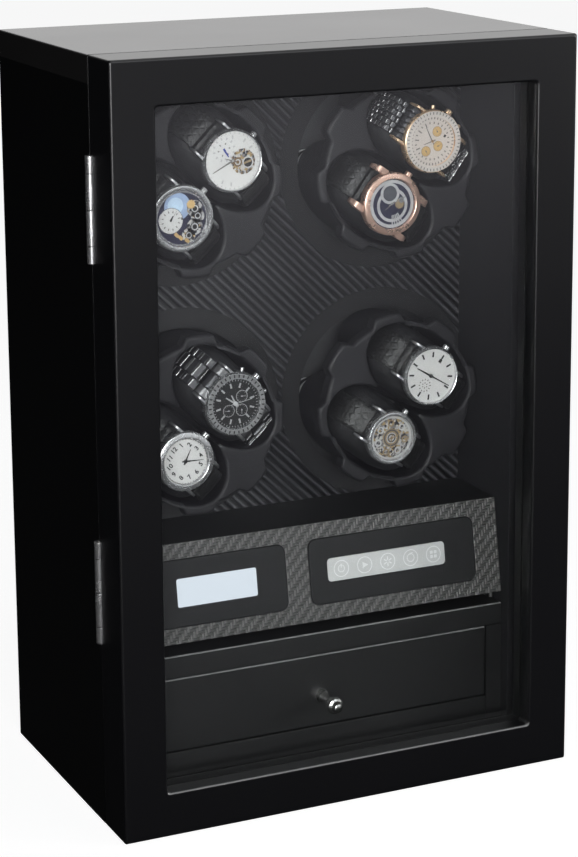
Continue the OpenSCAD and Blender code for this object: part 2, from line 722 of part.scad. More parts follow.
side_panel_left();
side_panel_right();
top_panel();
bottom_panel();
rear_panel();
rear_panel_screws();
side_liners();
fascia();
drive_deck();
spindle_bearings();
drive_belts();
gear_motors();
drawer_shelf();
drawer_cheeks();
plinth_rail();
drawer_runners();
console_panel();
display_bezel();
key_bezel();
display_module();
key_strip();
control_board();
power_inlet();
hinge_cabinet_leaves();
hinge_pins();
magnet_strikes();
door_stile_left();
door_stile_right();
door_rail_top();
door_rail_bottom();
door_glass();
glass_beads();
hinge_door_leaves();
door_magnets();
drawer_front();
drawer_tray();
drawer_lining();
drawer_knob();
knob_screw();
turntable(-1, 1);  // turntable_upper_left
turntable(1, 1);  // turntable_upper_right
turntable(-1, 0);  // turntable_lower_left
turntable(1, 0);  // turntable_lower_right
spindle(-1, 1);  // spindle_upper_left
spindle(1, 1);  // spindle_upper_right
spindle(-1, 0);  // spindle_lower_left
spindle(1, 0);  // spindle_lower_right
cushions(-1, 1);  // cushions_upper_left
cushions(1, 1);  // cushions_upper_right
cushions(-1, 0);  // cushions_lower_left
cushions(1, 0);  // cushions_lower_right
watches(-1, 1);  // watches_upper_left
watches(1, 1);  // watches_upper_right
watches(-1, 0);  // watches_lower_left
watches(1, 0);  // watches_lower_right
motor_pulley(-1, 1);  // motor_pulley_upper_left
motor_pulley(1, 1);  // motor_pulley_upper_right
motor_pulley(-1, 0);  // motor_pulley_lower_left
motor_pulley(1, 0);  // motor_pulley_lower_right
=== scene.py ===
"""The watch winder box as it looks: detailed pieces over the CAD frame, materials, light and camera."""

import json
from math import acos, atan, copysign, cos, hypot, pi, radians, sin, sqrt

import bmesh
import bpy
import numpy as np
from mathutils import Matrix, Vector
from mathutils.geometry import delaunay_2d_cdt

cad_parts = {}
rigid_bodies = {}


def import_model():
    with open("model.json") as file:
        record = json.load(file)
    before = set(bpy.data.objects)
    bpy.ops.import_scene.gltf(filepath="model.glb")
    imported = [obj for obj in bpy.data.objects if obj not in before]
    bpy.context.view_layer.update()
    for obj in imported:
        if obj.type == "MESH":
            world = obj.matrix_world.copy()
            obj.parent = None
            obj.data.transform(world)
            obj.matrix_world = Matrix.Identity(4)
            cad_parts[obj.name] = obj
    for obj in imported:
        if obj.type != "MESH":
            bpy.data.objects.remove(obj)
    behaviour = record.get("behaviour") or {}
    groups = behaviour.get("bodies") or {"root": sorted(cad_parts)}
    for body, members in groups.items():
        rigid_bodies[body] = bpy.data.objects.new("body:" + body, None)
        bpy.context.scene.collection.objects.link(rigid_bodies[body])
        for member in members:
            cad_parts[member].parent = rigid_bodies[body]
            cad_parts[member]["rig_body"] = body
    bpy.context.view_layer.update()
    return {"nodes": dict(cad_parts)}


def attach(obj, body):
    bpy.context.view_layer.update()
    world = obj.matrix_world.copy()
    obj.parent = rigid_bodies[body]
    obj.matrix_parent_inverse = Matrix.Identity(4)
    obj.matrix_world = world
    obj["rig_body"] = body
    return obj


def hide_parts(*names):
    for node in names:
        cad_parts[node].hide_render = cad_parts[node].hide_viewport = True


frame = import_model()
nodes = frame["nodes"]
scene = bpy.context.scene
MM = 0.001

# Planes and sizes of the CAD frame, in millimetres
BOX_W = 330.0
BOX_H = 508.0
FRONT_Y = -105.0
DOOR_BACK_Y = -69.0
GLASS_Y = -93.0
CAB_Y = -68.0
BACK_Y = 105.0
HINGE_Y = -68.5
HINGE_ZS = (160.5, 411.0)
HINGE_HALF = 34.5
MAGNET_X = 156.0
MAGNET_ZS = (101.6, 406.4)
DOOR_MEMBER = 30.0
REBATE = 22.0
INNER_X = 141.0
CEILING_Z = 490.0
SHELF_TOP_Z = 103.0
FASCIA_Y = 10.0
FASCIA_T = 4.0
RIB_PITCH = 5.0
RIB_DEPTH = 1.1
FLANGE_Y = -25.0
FLANGE_T = 10.0
POCKET_FLOOR_Y = 17.5
CUP_BACK_Y = 20.0
CUP_WALL = 2.5
HUB_BACK_Y = 26.0
LOBE_R = 62.5
WAIST_R = 56.5
LOBES = 8
LOBE_FLANK = 1.3
HOLE_R = 60.0
POCKET_A = 27.5
POCKET_B = 45.0
POCKET_OFF = 25.3
SPINDLE_R = 4.0
FACE_Y = -45.0
CASE_BACK_Y = -33.5
CUSHION_BACK_Y = 14.0
AXIS_X = 75.0
LOW_AXIS_Z = 250.0
HIGH_AXIS_Z = 413.0
HOUSING_Y = -55.0
CONSOLE_Z = 111.0
CONSOLE_TOP_Z = 177.5
CONSOLE_LEAN = 11.0
DRAWER_Y = -54.0
KNOB_Z = 57.0
KNOB_LEN = 28.0
SCREW_X = 150.0

# Each turntable's axis and the rest angle of its pair of pockets
TURNTABLES = {
    "upper_left": (-AXIS_X, HIGH_AXIS_Z, 44.0),
    "upper_right": (AXIS_X, HIGH_AXIS_Z, 53.0),
    "lower_left": (-AXIS_X, LOW_AXIS_Z, 44.0),
    "lower_right": (AXIS_X, LOW_AXIS_Z, 53.0),
}


# ---------------------------------------------------------------- materials
def grey(value):
    return (value, value, value, 1.0)


def colour(r, g, b):
    return (r, g, b, 1.0)


class Graph:
    """A node tree built by short calls. An input is a plain value or the output of another node."""

    def __init__(self, owner, empty=False):
        owner.use_nodes = True
        self.tree = owner.node_tree
        if empty:
            self.tree.nodes.clear()

    def put(self, node, inputs):
        """Sets each input of a node, or links it."""
        for socket, value in inputs.items():
            if isinstance(value, bpy.types.NodeSocket):
                self.tree.links.new(value, node.inputs[socket])
            else:
                node.inputs[socket].default_value = value

    def add(self, kind, output, inputs=None, **settings):
        """Makes a node and returns one of its outputs."""
        node = self.tree.nodes.new("ShaderNode" + kind)
        for key, value in settings.items():
            setattr(node, key, value)
        self.put(node, inputs or {})
        return node.outputs[output] if output else node

    def where(self, space="Object"):
        return self.add("TexCoord", space)

    def axis(self, letter, space="Object"):
        """One coordinate of the point that is shaded."""
        return self.add("SeparateXYZ", letter, {"Vector": self.where(space)})

    def noise(self, scale, detail=2.0):
        return self.add("TexNoise", "Fac", {"Scale": scale, "Detail": detail, "Vector": self.where()})

    def cells(self, scale, inputs=None, **settings):
        """The distance within a pattern of cells."""
        inputs = {"Scale": scale, "Vector": self.where(), **(inputs or {})}
        return self.add("TexVoronoi", "Distance", inputs, **settings)

    def span(self, source, low, high):
        """Maps a value from 0-1 to low-high."""
        return self.add("MapRange", "Result", {"Value": source, "To Min": low, "To Max": high})

    def soft(self, source, start, end, high=1.0):
        """Rises smoothly from 0 at start to high at end."""
        inputs = {"Value": source, "From Min": start, "From Max": end, "To Max": high}
        return self.add("MapRange", "Result", inputs, interpolation_type="SMOOTHSTEP")

    def blend(self, factor, a, b):
        return self.add("Mix", "Result", {"Factor": factor, "A": a, "B": b}, data_type="RGBA")

    def calc(self, kind, *values):
        return self.add("Math", "Value", dict(enumerate(values)), operation=kind)

    def either(self, factor, a, b):
        """Shader a where the factor is 0 and b where it is 1."""
        return self.add("MixShader", "Shader", {0: factor, 1: a, 2: b})

    def ray(self, kind):
        return self.add("LightPath", "Is %s Ray" % kind)


class Finish(Graph):
    """A material with one principled shader."""

    def __init__(self, name):
        self.material = bpy.data.materials.new(name)
        super().__init__(self.material)
        self.shader = next(n for n in self.tree.nodes if n.type == "BSDF_PRINCIPLED")

    def bump(self, height, strength, distance):
        inputs = {"Height": height, "Strength": strength, "Distance": distance}
        self.put(self.shader, {"Normal": self.add("Bump", "Normal", inputs)})

    def done(self, base, rough, specular=0.5, **inputs):
        """Sets the shader and returns the material."""
        named = {key.replace("_", " "): value for key, value in inputs.items()}
        inputs = {"Base Color": base, "Roughness": rough, "Specular IOR Level": specular}
        self.put(self.shader, {**inputs, **named})
        return self.material


def plain(name, base, rough, metal=0.0, specular=0.5, spread=0.06, tint=0.12, scale=60.0, bump=0.0):
    """A finish whose colour and roughness vary a little over the surface."""
    finish = Finish(name)
    noise = finish.noise(scale)
    if bump:
        finish.bump(finish.noise(scale * 12, 3.0), bump, 0.0004)
    dark = tuple(c * (1 - tint) for c in base[:3]) + (1.0,)
    light = tuple(min(1.0, c * (1 + tint)) for c in base[:3]) + (1.0,)
    rough_span = finish.span(noise, rough - spread, rough + spread)
    return finish.done(finish.blend(noise, dark, light), rough_span, specular, Metallic=metal)


def lacquer(name, base, rough, specular):
    return plain(name, base, rough, specular=specular, scale=9.0, spread=0.02)


def brushed(name, base, rough, along="X"):
    """Metal with fine lines along one object axis."""
    finish = Finish(name)
    fine = [1800.0] * 3
    fine["XYZ".index(along)] = 40.0
    stretched = finish.add("Mapping", "Vector", {"Vector": finish.where(), "Scale": fine})
    noise = finish.add("TexNoise", "Fac", {"Scale": 1.0, "Vector": stretched})
    finish.bump(noise, 0.12, 0.0001)
    return finish.done(base, finish.span(noise, rough - 0.08, rough + 0.14), Metallic=1.0)


def cushion_leather():
    """Grained leather: small cells over a soft mottling."""
    finish = Finish("cushion_leather")
    finish.bump(finish.cells(700.0), 0.35, 0.0005)
    return finish.done(colour(0.016, 0.016, 0.0175), finish.span(finish.noise(90.0), 0.52, 0.7), 0.45)


def strap_leather():
    """Glossy strap leather with rows of squarish scales."""
    finish = Finish("strap_leather")
    edges = finish.cells(240.0, {"Randomness": 0.3}, feature="DISTANCE_TO_EDGE")
    finish.bump(finish.soft(edges, 0.0, 0.28), 0.45, 0.0005)
    return finish.done(grey(0.007), finish.span(finish.noise(250.0), 0.36, 0.6), 0.6)


def ribbed_board():
    """A ribbed board with painted highlights on its crests and painted shade in its valleys."""
    finish = Finish("ribbed_fascia")
    depth = finish.soft(finish.axis("Y"), FASCIA_Y * MM, (FASCIA_Y + RIB_DEPTH) * MM)
    # Painted light: the lighter crests stand for their highlights, and the near-black valleys for the shade
    # in them.
    crest_painted_highlight = colour(0.058, 0.057, 0.063)
    return finish.done(finish.blend(depth, crest_painted_highlight, colour(0.003, 0.003, 0.004)), 0.36, 0.8)


def movement_parts():
    """A watch movement seen through an open dial: a fine jumble of steel, brass and shade."""
    finish = Finish("movement_parts")
    cells = finish.cells(620.0)
    red = finish.add("SeparateColor", "Red", {"Color": cells.node.outputs["Color"]})
    shades = finish.add("ValToRGB", "Color", {"Fac": red})
    ramp = shades.node.color_ramp
    ramp.interpolation = "CONSTANT"
    ramp.elements[0].color = colour(0.03, 0.03, 0.04)
    ramp.elements[1].position = 0.24
    ramp.elements[1].color = grey(0.5)
    ramp.elements.new(0.5).color = colour(0.24, 0.23, 0.23)
    ramp.elements.new(0.68).color = colour(0.42, 0.3, 0.15)
    ramp.elements.new(0.84).color = colour(0.62, 0.6, 0.56)
    finish.bump(cells, 0.6, 0.0004)
    return finish.done(shades, 0.4)


def carbon_weave():
    """Two-by-two twill: strands that run two ways and shine differently."""
    finish = Finish("carbon_weave")
    tow = 2.1 * MM
    across = finish.calc("DIVIDE", finish.axis("X"), tow)
    along = finish.calc("DIVIDE", finish.axis("Z"), tow)
    step = finish.calc("SUBTRACT", finish.calc("FLOOR", across), finish.calc("FLOOR", along))
    warp = finish.calc("LESS_THAN", finish.calc("FLOORED_MODULO", step, 4.0), 2.0)

    def hump(value):
        """1 along a strand's middle and 0 at its edges."""
        centred = finish.calc("SUBTRACT", finish.calc("FRACT", value), 0.5)
        square = finish.calc("MULTIPLY", centred, centred)
        return finish.calc("SUBTRACT", 1.0, finish.calc("MULTIPLY", square, 4.0))

    height = finish.add("Mix", "Result", {"Factor": warp, "A": hump(along), "B": hump(across)})
    finish.bump(height, 0.7, 0.0008)
    # Painted light: besides the bump, each strand is lighter along its crown as a painted highlight and
    # darker at its edges as painted shade; warp and weft differ in tone for their shine.
    painted_shine = finish.calc("ADD", finish.calc("MULTIPLY", warp, 0.55), finish.calc("MULTIPLY", height, 0.45))
    shade = finish.blend(painted_shine, grey(0.034), colour(0.14, 0.137, 0.133))
    return finish.done(shade, finish.span(warp, 0.45, 0.32), Coat_Weight=0.8, Coat_Roughness=0.2)


def lit_display():
    finish = Finish("display")
    light = colour(0.76, 0.83, 0.91)
    return finish.done(colour(0.05, 0.055, 0.06), 0.25, Emission_Color=light, Emission_Strength=1.0)


def glass_pane(name, tint, veil=None):
    """Glass that lets lamps and sight straight through; veil is its painted reflection haze, from faint at
    the foot to stronger at the top.
    """
    material = bpy.data.materials.new(name)
    graph = Graph(material, empty=True)
    clear = graph.add("BsdfTransparent", "BSDF", {"Color": tint})
    shine = graph.add("BsdfGlossy", "BSDF", {"Roughness": 0.03})
    surface = graph.either(graph.add("Fresnel", "Fac", {"IOR": 1.45}), clear, shine)
    if veil:
        # Painted reflection: a faint lit haze on the pane, strongest towards the top left.
        painted_haze = graph.add("BsdfDiffuse", "BSDF", {"Color": VEIL_TINT})
        across = graph.axis("X", "Generated")
        slant = graph.calc("MULTIPLY_ADD", across, VEIL_SLANT, graph.axis("Z", "Generated"))
        surface = graph.either(graph.span(slant, *veil), surface, painted_haze)
    surface = graph.either(graph.ray("Shadow"), surface, clear)
    graph.add("OutputMaterial", None, {"Surface": surface})
    return material


# Tint and slant of the glass's painted reflection haze
VEIL_TINT = colour(0.79, 0.77, 0.9)
VEIL_SLANT = -0.3

LACQUER = lacquer("black_lacquer", colour(0.0022, 0.0022, 0.0024), 0.25, 0.4)
LACQUER_DOOR = lacquer("door_lacquer", colour(0.0038, 0.0038, 0.0046), 0.29, 0.42)
# Painted light: the top's lacquer is a lighter copy of the sides' black lacquer, for the light on the top.
LACQUER_TOP_LIT = lacquer("top_lacquer_painted_light", colour(0.01, 0.0095, 0.0095), 0.25, 0.5)
BOARD = plain("satin_black_board", colour(0.0105, 0.0105, 0.011), 0.5, scale=20.0)
# Painted highlight: a light grey for the rounded upper front edges of the drawer and shelf.
BOARD_EDGE_HIGHLIGHT = plain("board_edge_painted_highlight", grey(0.22), 0.25, specular=0.6)
# Painted highlight: a lighter grey for the rounded upper edge of the door's bottom rail at the opening.
DOOR_EDGE_HIGHLIGHT = plain("door_edge_painted_highlight", grey(0.12), 0.2, specular=0.6)
FELT = plain("lining_felt", colour(0.022, 0.022, 0.024), 0.92, specular=0.1, scale=200.0, bump=0.5)
RIBBED = ribbed_board()
# Painted shade: the plain recessed surround round each opening is coloured dark for the shadow that falls
# round each turntable.
SURROUND = plain("fascia_surround_painted_shade", colour(0.007, 0.007, 0.008), 0.6)
DECK = plain("deck_board", colour(0.05, 0.05, 0.053), 0.8, scale=30.0)
BRONZE = plain("bronze", colour(0.42, 0.26, 0.12), 0.35, metal=1.0, scale=80.0)
RUBBER = plain("belt_rubber", grey(0.012), 0.8, scale=80.0)
MOTOR_CAN = brushed("motor_can", grey(0.5), 0.35, "Y")
RUNNER_WOOD = plain("runner_wood", colour(0.42, 0.27, 0.13), 0.55, tint=0.3)
CARBON = carbon_weave()
BEZEL = plain("bezel_black", colour(0.02, 0.02, 0.021), 0.6, specular=0.25, scale=120.0, bump=0.15)
DISPLAY = lit_display()
KEYS = plain("key_silver", colour(0.66, 0.665, 0.66), 0.35)
KEY_ICON = plain("key_icon", grey(0.9), 0.45)
CIRCUIT = plain("circuit_board", colour(0.012, 0.09, 0.035), 0.45, scale=120.0, tint=0.3)
NICKEL = plain("nickel", colour(0.86, 0.85, 0.83), 0.24, metal=1.0, scale=90.0)
ZINC = plain("zinc_steel", colour(0.6, 0.61, 0.63), 0.35, metal=1.0, scale=90.0)
HINGE_STEEL = plain("hinge_steel", colour(0.46, 0.46, 0.47), 0.26, metal=0.85, scale=90.0)
# The door glass carries the painted reflection haze.
GLASS = glass_pane("glass", colour(0.95, 0.96, 0.96), (0.0003, 0.009))
CRYSTAL = glass_pane("watch_crystal", grey(0.98))
DISC = plain("turntable_plastic", colour(0.018, 0.0175, 0.02), 0.5, specular=0.4, scale=50.0, bump=0.12)
SPINDLE = plain("spindle_steel", colour(0.55, 0.56, 0.58), 0.28, metal=1.0, scale=90.0)
PULLEY = plain("pulley_plastic", grey(0.62), 0.5)
CUSHION = cushion_leather()
STEEL = plain("watch_steel", colour(0.66, 0.66, 0.67), 0.26, metal=0.85, scale=120.0, tint=0.02)
STEEL_SATIN = brushed("watch_steel_satin", colour(0.5, 0.5, 0.51), 0.36)
STEEL_GREY = brushed("watch_steel_grey", colour(0.26, 0.26, 0.265), 0.36)
STEEL_LINK = brushed("watch_steel_link", colour(0.085, 0.085, 0.09), 0.36)
GOLD = plain("watch_gold", colour(0.86, 0.62, 0.42), 0.28, metal=0.75, scale=120.0, tint=0.02)
ROSE = plain("watch_rose_gold", colour(0.84, 0.56, 0.45), 0.28, metal=0.75, scale=120.0, tint=0.02)
STRAP = strap_leather()
STITCH = plain("strap_thread", grey(0.03), 0.7, scale=200.0)
DIAL_WHITE = plain("dial_white", colour(0.72, 0.71, 0.7), 0.45, tint=0.02)
DIAL_CREAM = plain("dial_cream", colour(0.68, 0.62, 0.58), 0.45, tint=0.02)
DIAL_BLACK = plain("dial_black", colour(0.02, 0.02, 0.021), 0.4)
DIAL_NAVY = plain("dial_navy", colour(0.03, 0.03, 0.06), 0.3)
DIAL_GREY = plain("dial_grey", colour(0.085, 0.09, 0.105), 0.35, scale=200.0, tint=0.3)
DIAL_SKY = plain("dial_sky", colour(0.36, 0.46, 0.66), 0.35, tint=0.3, scale=120.0)
DIAL_PALE_SKY = plain("dial_pale_sky", colour(0.56, 0.7, 0.86), 0.35, tint=0.2, scale=160.0)
STEEL_PALE = plain("dial_silver", colour(0.68, 0.68, 0.69), 0.32, metal=0.4, tint=0.2, scale=200.0)
INK = plain("dial_ink", grey(0.02), 0.4)
INK_BLUE = plain("dial_blue_ink", colour(0.03, 0.05, 0.3), 0.3)
INK_PALE = plain("dial_pale_ink", grey(0.5), 0.4)
INK_GREY = plain("dial_grey_ink", colour(0.2, 0.19, 0.18), 0.4)
GILT = plain("dial_gilt", colour(0.36, 0.27, 0.16), 0.35, scale=300.0, tint=0.3)
BRASS_DARK = plain("movement_dark_brass", colour(0.2, 0.13, 0.07), 0.35, scale=400.0, tint=0.4)
BEZEL_SCALE = plain("watch_scale_ring", colour(0.3, 0.3, 0.305), 0.35, metal=0.3, scale=200.0)
AMBER = plain("dial_amber", colour(0.68, 0.46, 0.2), 0.35, scale=200.0)
MOVEMENT = movement_parts()


# ---------------------------------------------------------------- mesh helpers
def ring_of(radius, n):
    """Points (across, up) round a circle, anticlockwise from the right."""
    turns = [2 * pi * i / n for i in range(n)]
    return [(radius * cos(a), radius * sin(a)) for a in turns]


def circle(radius, n=64):
    """An outline as a function of how far it is inset; points are (across, up)."""
    return lambda inset=0.0: ring_of(radius - inset, n)


def rounded(w, h, r, n=6):
    """A rectangle with round corners."""

    def at(inset=0.0):
        corner = max(r - inset, 0.05)
        points = []
        for sx, sz, start in ((1, 1, 0), (-1, 1, 90), (-1, -1, 180), (1, -1, 270)):
            cx = sx * (w / 2 - inset - corner)
            cz = sz * (h / 2 - inset - corner)
            turns = [radians(start + 90 * i / n) for i in range(n + 1)]
            points += [(cx + corner * cos(a), cz + corner * sin(a)) for a in turns]
        return points

    return at


def gear(radius, teeth, depth):
    """A wheel with square teeth."""

    def at(inset=0.0):
        low = radius - inset - depth
        points = ring_of(radius - inset, teeth * 4)
        roots = ring_of(low, teeth * 4)
        return [roots[i] if i % 4 in (2, 3) else point for i, point in enumerate(points)]

    return at


def lobed(inset=0.0):
    """The turntable's outline, whose radius swings between waists and lobes."""
    n = 24 * LOBES
    points = []
    for i in range(n):
        a = 2 * pi * i / n
        t = min(1.0, max(0.0, 0.5 + LOBE_FLANK * cos(LOBES * a)))
        r = WAIST_R + (LOBE_R - WAIST_R) * t * t * (3 - 2 * t) - inset
        points.append((r * cos(a), r * sin(a)))
    return points


def twin_pocket(inset=0.0):
    """The outline round two overlapping ellipses; a negative inset grows it."""
    n = 44
    a = POCKET_A - inset
    b = POCKET_B - inset
    half = acos(max(-1.0, -POCKET_OFF / a))
    turns = [half * (2 * (i + 0.5) / n - 1) for i in range(n)]
    right = [(POCKET_OFF + a * cos(t), b * sin(t)) for t in turns]
    return right + [(-x, -z) for x, z in right]


def front_arc(radius, y, steps):
    """(inset, depth) round a front edge, from its face at depth y to its side."""
    turns = [pi / 2 * k / steps for k in range(steps + 1)]
    return [(radius * (1 - sin(a)), y + radius * (1 - cos(a))) for a in turns]


def back_arc(radius, y, steps):
    """(inset, depth) round a back edge, from its side to its face at depth y."""
    turns = [pi / 2 * k / steps for k in range(steps + 1)]
    return [(radius * (1 - cos(a)), y - radius * (1 - sin(a))) for a in turns]


def at_depth(points, y, at=(0.0, 0.0)):
    return [(x + at[0], y, z + at[1]) for x, z in points]


def within(point, loop):
    """True for a point inside a closed outline."""
    inside = False
    for (ax, ay), (bx, by) in zip(loop, loop[1:] + loop[:1]):
        crosses = (ay > point[1]) != (by > point[1])
        if crosses and point[0] < ax + (bx - ax) * (point[1] - ay) / (by - ay):
            inside = not inside
    return inside


class Shape:
    """Vertices in millimetres with faces and their materials; y is depth, and it grows to the back."""

    def __init__(self):
        self.verts = []
        self.faces = []
        self.mats = []

    def add(self, verts, faces, material):
        start = len(self.verts)
        self.verts += [tuple(v) for v in verts]
        self.faces += [[start + i for i in f] for f in faces]
        self.mats += [material] * len(faces)

    def loft(self, rings, material, start_cap=True, end_cap=True, loop=False):
        """Joins rings of equal length; loop also joins the last ring to the first."""
        n = len(rings[0])
        count = len(rings)
        faces = []
        for k in range(count if loop else count - 1):
            a = k * n
            b = ((k + 1) % count) * n
            for i in range(n):
                j = (i + 1) % n
                faces.append([a + i, a + j, b + j, b + i])
        if start_cap and not loop:
            faces.append(list(range(n))[::-1])
        if end_cap and not loop:
            faces.append([(count - 1) * n + i for i in range(n)])
        self.add([p for ring in rings for p in ring], faces, material)

    def plate(self, outline, y0, y1, material, edge=0.0, back_edge=0.0, at=(0.0, 0.0), steps=3):
        """A plate from y0, its front, to y1. Its edges are rounded by the two radii."""
        levels = front_arc(edge, y0, steps) if edge else [(0.0, y0)]
        levels += back_arc(back_edge, y1, steps) if back_edge else [(0.0, y1)]
        self.loft([at_depth(outline(inset), y, at) for inset, y in levels], material)

    def spin(self, profile, material, n=64, at=(0.0, 0.0), loop=False):
        """Turns a profile of (radius, y) about the y axis through at."""
        self.loft([at_depth(ring_of(r, n), y, at) for r, y in profile], material, False, False, loop)

    def disc(self, radius, y, back_y, material, n=48, at=(0.0, 0.0)):
        """A flat disc with a rim that runs back."""
        self.spin([(AXIS_R, y), (radius, y), (radius, back_y)], material, n, at)

    def ring(self, inner, outer, y0, y1, material, at=(0.0, 0.0), n=64):
        self.spin([(inner, y1), (inner, y0), (outer, y0), (outer, y1)], material, n, at, loop=True)

    def bar(self, a, b, wide, y0, y1, material, wide_end=None, at=(0.0, 0.0)):
        """A flat bar from a to b, seen from the front, that may taper."""
        a, b = Vector(a), Vector(b)
        along = (b - a).normalized()
        across = Vector((-along.y, along.x))
        half = across * wide / 2
        end = across * (wide if wide_end is None else wide_end) / 2
        flat = [a + half, b + end, b - end, a - half]
        self.loft([at_depth(flat, y, at) for y in (y0, y1)], material)

    def tube(self, path, section, material):
        """Sweeps a section of (across, out) along a path of (depth, height)."""
        points = [Vector((0.0, y, z)) for y, z in path]
        rings = []
        for i, p in enumerate(points):
            along = (points[min(i + 1, len(points) - 1)] - points[max(i - 1, 0)]).normalized()
            out = SIDEWAYS.cross(along).normalized()
            rings.append([tuple(p + SIDEWAYS * u + out * v) for u, v in section])
        self.loft(rings, material)

    def fill(self, outer, holes, y, material):
        """The flat region inside an outline and outside some holes."""
        points = []
        edges = []
        for loop in [outer, *holes]:
            start = len(points)
            points += [Vector(p) for p in loop]
            edges += [(start + i, start + (i + 1) % len(loop)) for i in range(len(loop))]
        verts, _, faces, _, _, _ = delaunay_2d_cdt(points, edges, [], 1, 1e-5)

        def solid(face):
            middle = sum((verts[i] for i in face), Vector((0.0, 0.0))) / len(face)
            return not any(within(middle, hole) for hole in holes)

        self.add([(v.x, y, v.y) for v in verts], [f for f in faces if solid(f)], material)

    def moved(self, matrix):
        """The same shape carried by a matrix whose offsets are in millimetres."""
        other = Shape()
        other.verts = [tuple(matrix @ Vector(v)) for v in self.verts]
        other.faces = self.faces
        other.mats = self.mats
        return other

    def join(self, other):
        start = len(self.verts)
        self.verts += other.verts
        self.faces += [[start + i for i in f] for f in other.faces]
        self.mats += other.mats

    def object(self, name, body, stands_for, smooth=32.0, weld=True):
        """Makes the object, which rides on a body in the place of a CAD node."""
        mesh = self.mesh(name)
        slots = {material: i for i, material in enumerate(dict.fromkeys(self.mats))}
        for material in slots:
            mesh.materials.append(material)
        mesh.polygons.foreach_set("material_index", [slots[material] for material in self.mats])
        tidy_mesh(mesh, smooth, weld)
        return dressed(linked(name, mesh), body, stands_for)

    def mesh(self, name):
        mesh = bpy.data.meshes.new(name)
        mesh.from_pydata([tuple(MM * c for c in v) for v in self.verts], [], self.faces)
        return mesh


AXIS_R = 0.01
SIDEWAYS = Vector((1.0, 0.0, 0.0))


def linked(name, data):
    obj = bpy.data.objects.new(name, data)
    scene.collection.objects.link(obj)
    return obj


def dressed(obj, body, stands_for):
    even_shading(obj)
    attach(obj, body)
    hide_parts(stands_for)
    return obj


def even_shading(obj):
    """Lets large flat faces keep their own normal beside a rounded edge."""
    obj.modifiers.new("even_shading", "WEIGHTED_NORMAL").keep_sharp = True


def shade_smooth(mesh, angle=None):
    """Smooth shading, apart from edges sharper than the angle."""
    mesh.polygons.foreach_set("use_smooth", [True] * len(mesh.polygons))
    if angle:
        mesh.set_sharp_from_angle(angle=radians(angle))
    mesh.update()


def tidy_mesh(mesh, smooth, weld=True):
    bm = bmesh.new()
    bm.from_mesh(mesh)
    if weld:
        bmesh.ops.remove_doubles(bm, verts=bm.verts, dist=1e-6)
    bmesh.ops.recalc_face_normals(bm, faces=bm.faces)
    bm.to_mesh(mesh)
    bm.free()
    shade_smooth(mesh, smooth)


def finished_mesh(obj):
    """The object's mesh with its modifiers carried out."""
    graph = bpy.context.evaluated_depsgraph_get()
    return bpy.data.meshes.new_from_object(obj.evaluated_get(graph))


def faces_up_and_out(normal):
    """True for the narrow faces that round an upper front edge, which get the painted edge highlights."""
    return normal.z > 0.2 and normal.y < -0.2


def paint(obj, material, chosen):
    """Gives the chosen faces another material."""
    obj.data.materials.append(material)
    for face in obj.data.polygons:
        if chosen(face):
            face.material_index = 1


def rounded_copy(node, material, width, chosen=None, angle=60.0, edge_highlight=None, name=None):
    """A copy of a CAD node with its sharp edges rounded; edge_highlight is a painted highlight on the
    rounding that faces up.
    """
    source = nodes[node]
    name = name or node + "_rounded"
    mesh = source.data.copy()
    mesh.name = name
    bm = bmesh.new()
    bm.from_mesh(mesh)
    bmesh.ops.remove_doubles(bm, verts=bm.verts, dist=2e-6)
    bmesh.ops.dissolve_limit(bm, angle_limit=radians(0.5), verts=bm.verts, edges=bm.edges)
    bmesh.ops.recalc_face_normals(bm, faces=bm.faces)
    edges = [e for e in bm.edges if len(e.link_faces) == 2]
    sharp = [e for e in edges if e.calc_face_angle_signed() > radians(angle)]
    sharp = [e for e in sharp if chosen is None or chosen(e)]
    bevel = {"offset": width * MM, "segments": 3, "profile": 0.5, "affect": "EDGES", "clamp_overlap": True}
    bmesh.ops.bevel(bm, geom=sharp, **bevel)
    bm.to_mesh(mesh)
    bm.free()
    mesh.materials.clear()
    mesh.materials.append(material)
    mesh.polygons.foreach_set("material_index", [0] * len(mesh.polygons))
    if "custom_normal" in mesh.attributes:
        mesh.attributes.remove(mesh.attributes["custom_normal"])
    shade_smooth(mesh, 32.0)
    obj = dressed(linked(name, mesh), source["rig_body"], node)
    if edge_highlight:
        # Painted highlight on the rounding that faces up and out.
        paint(obj, edge_highlight, lambda face: faces_up_and_out(face.normal))
    return obj


def cut(obj, cutters, keep=None):
    """Takes the cutters out of obj, or out of what it shares with keep, and deletes them."""
    tools = [("INTERSECT", keep)] if keep else []
    tools += [("DIFFERENCE", cutter) for cutter in cutters]
    bpy.context.view_layer.update()
    for operation, tool in tools:
        step = obj.modifiers.new("cut", "BOOLEAN")
        step.operation = operation
        step.solver = "EXACT"
        step.object = tool
    obj.data = finished_mesh(obj)
    obj.modifiers.clear()
    for _, tool in tools:
        bpy.data.objects.remove(tool)
    tidy_mesh(obj.data, 32.0)
    even_shading(obj)


def cylinder_tool(centre, radius, length, axis="Z", n=48):
    bpy.ops.mesh.primitive_cylinder_add(vertices=n, radius=radius * MM, depth=length * MM)
    tool = bpy.context.object
    if axis == "Y":
        tool.rotation_euler = (radians(90), 0, 0)
    tool.location = [c * MM for c in centre]
    return tool


def block_tool(lo, hi):
    bpy.ops.mesh.primitive_cube_add(size=1.0)
    tool = bpy.context.object
    tool.scale = [(b - a) * MM for a, b in zip(lo, hi)]
    tool.location = [(a + b) / 2 * MM for a, b in zip(lo, hi)]
    return tool


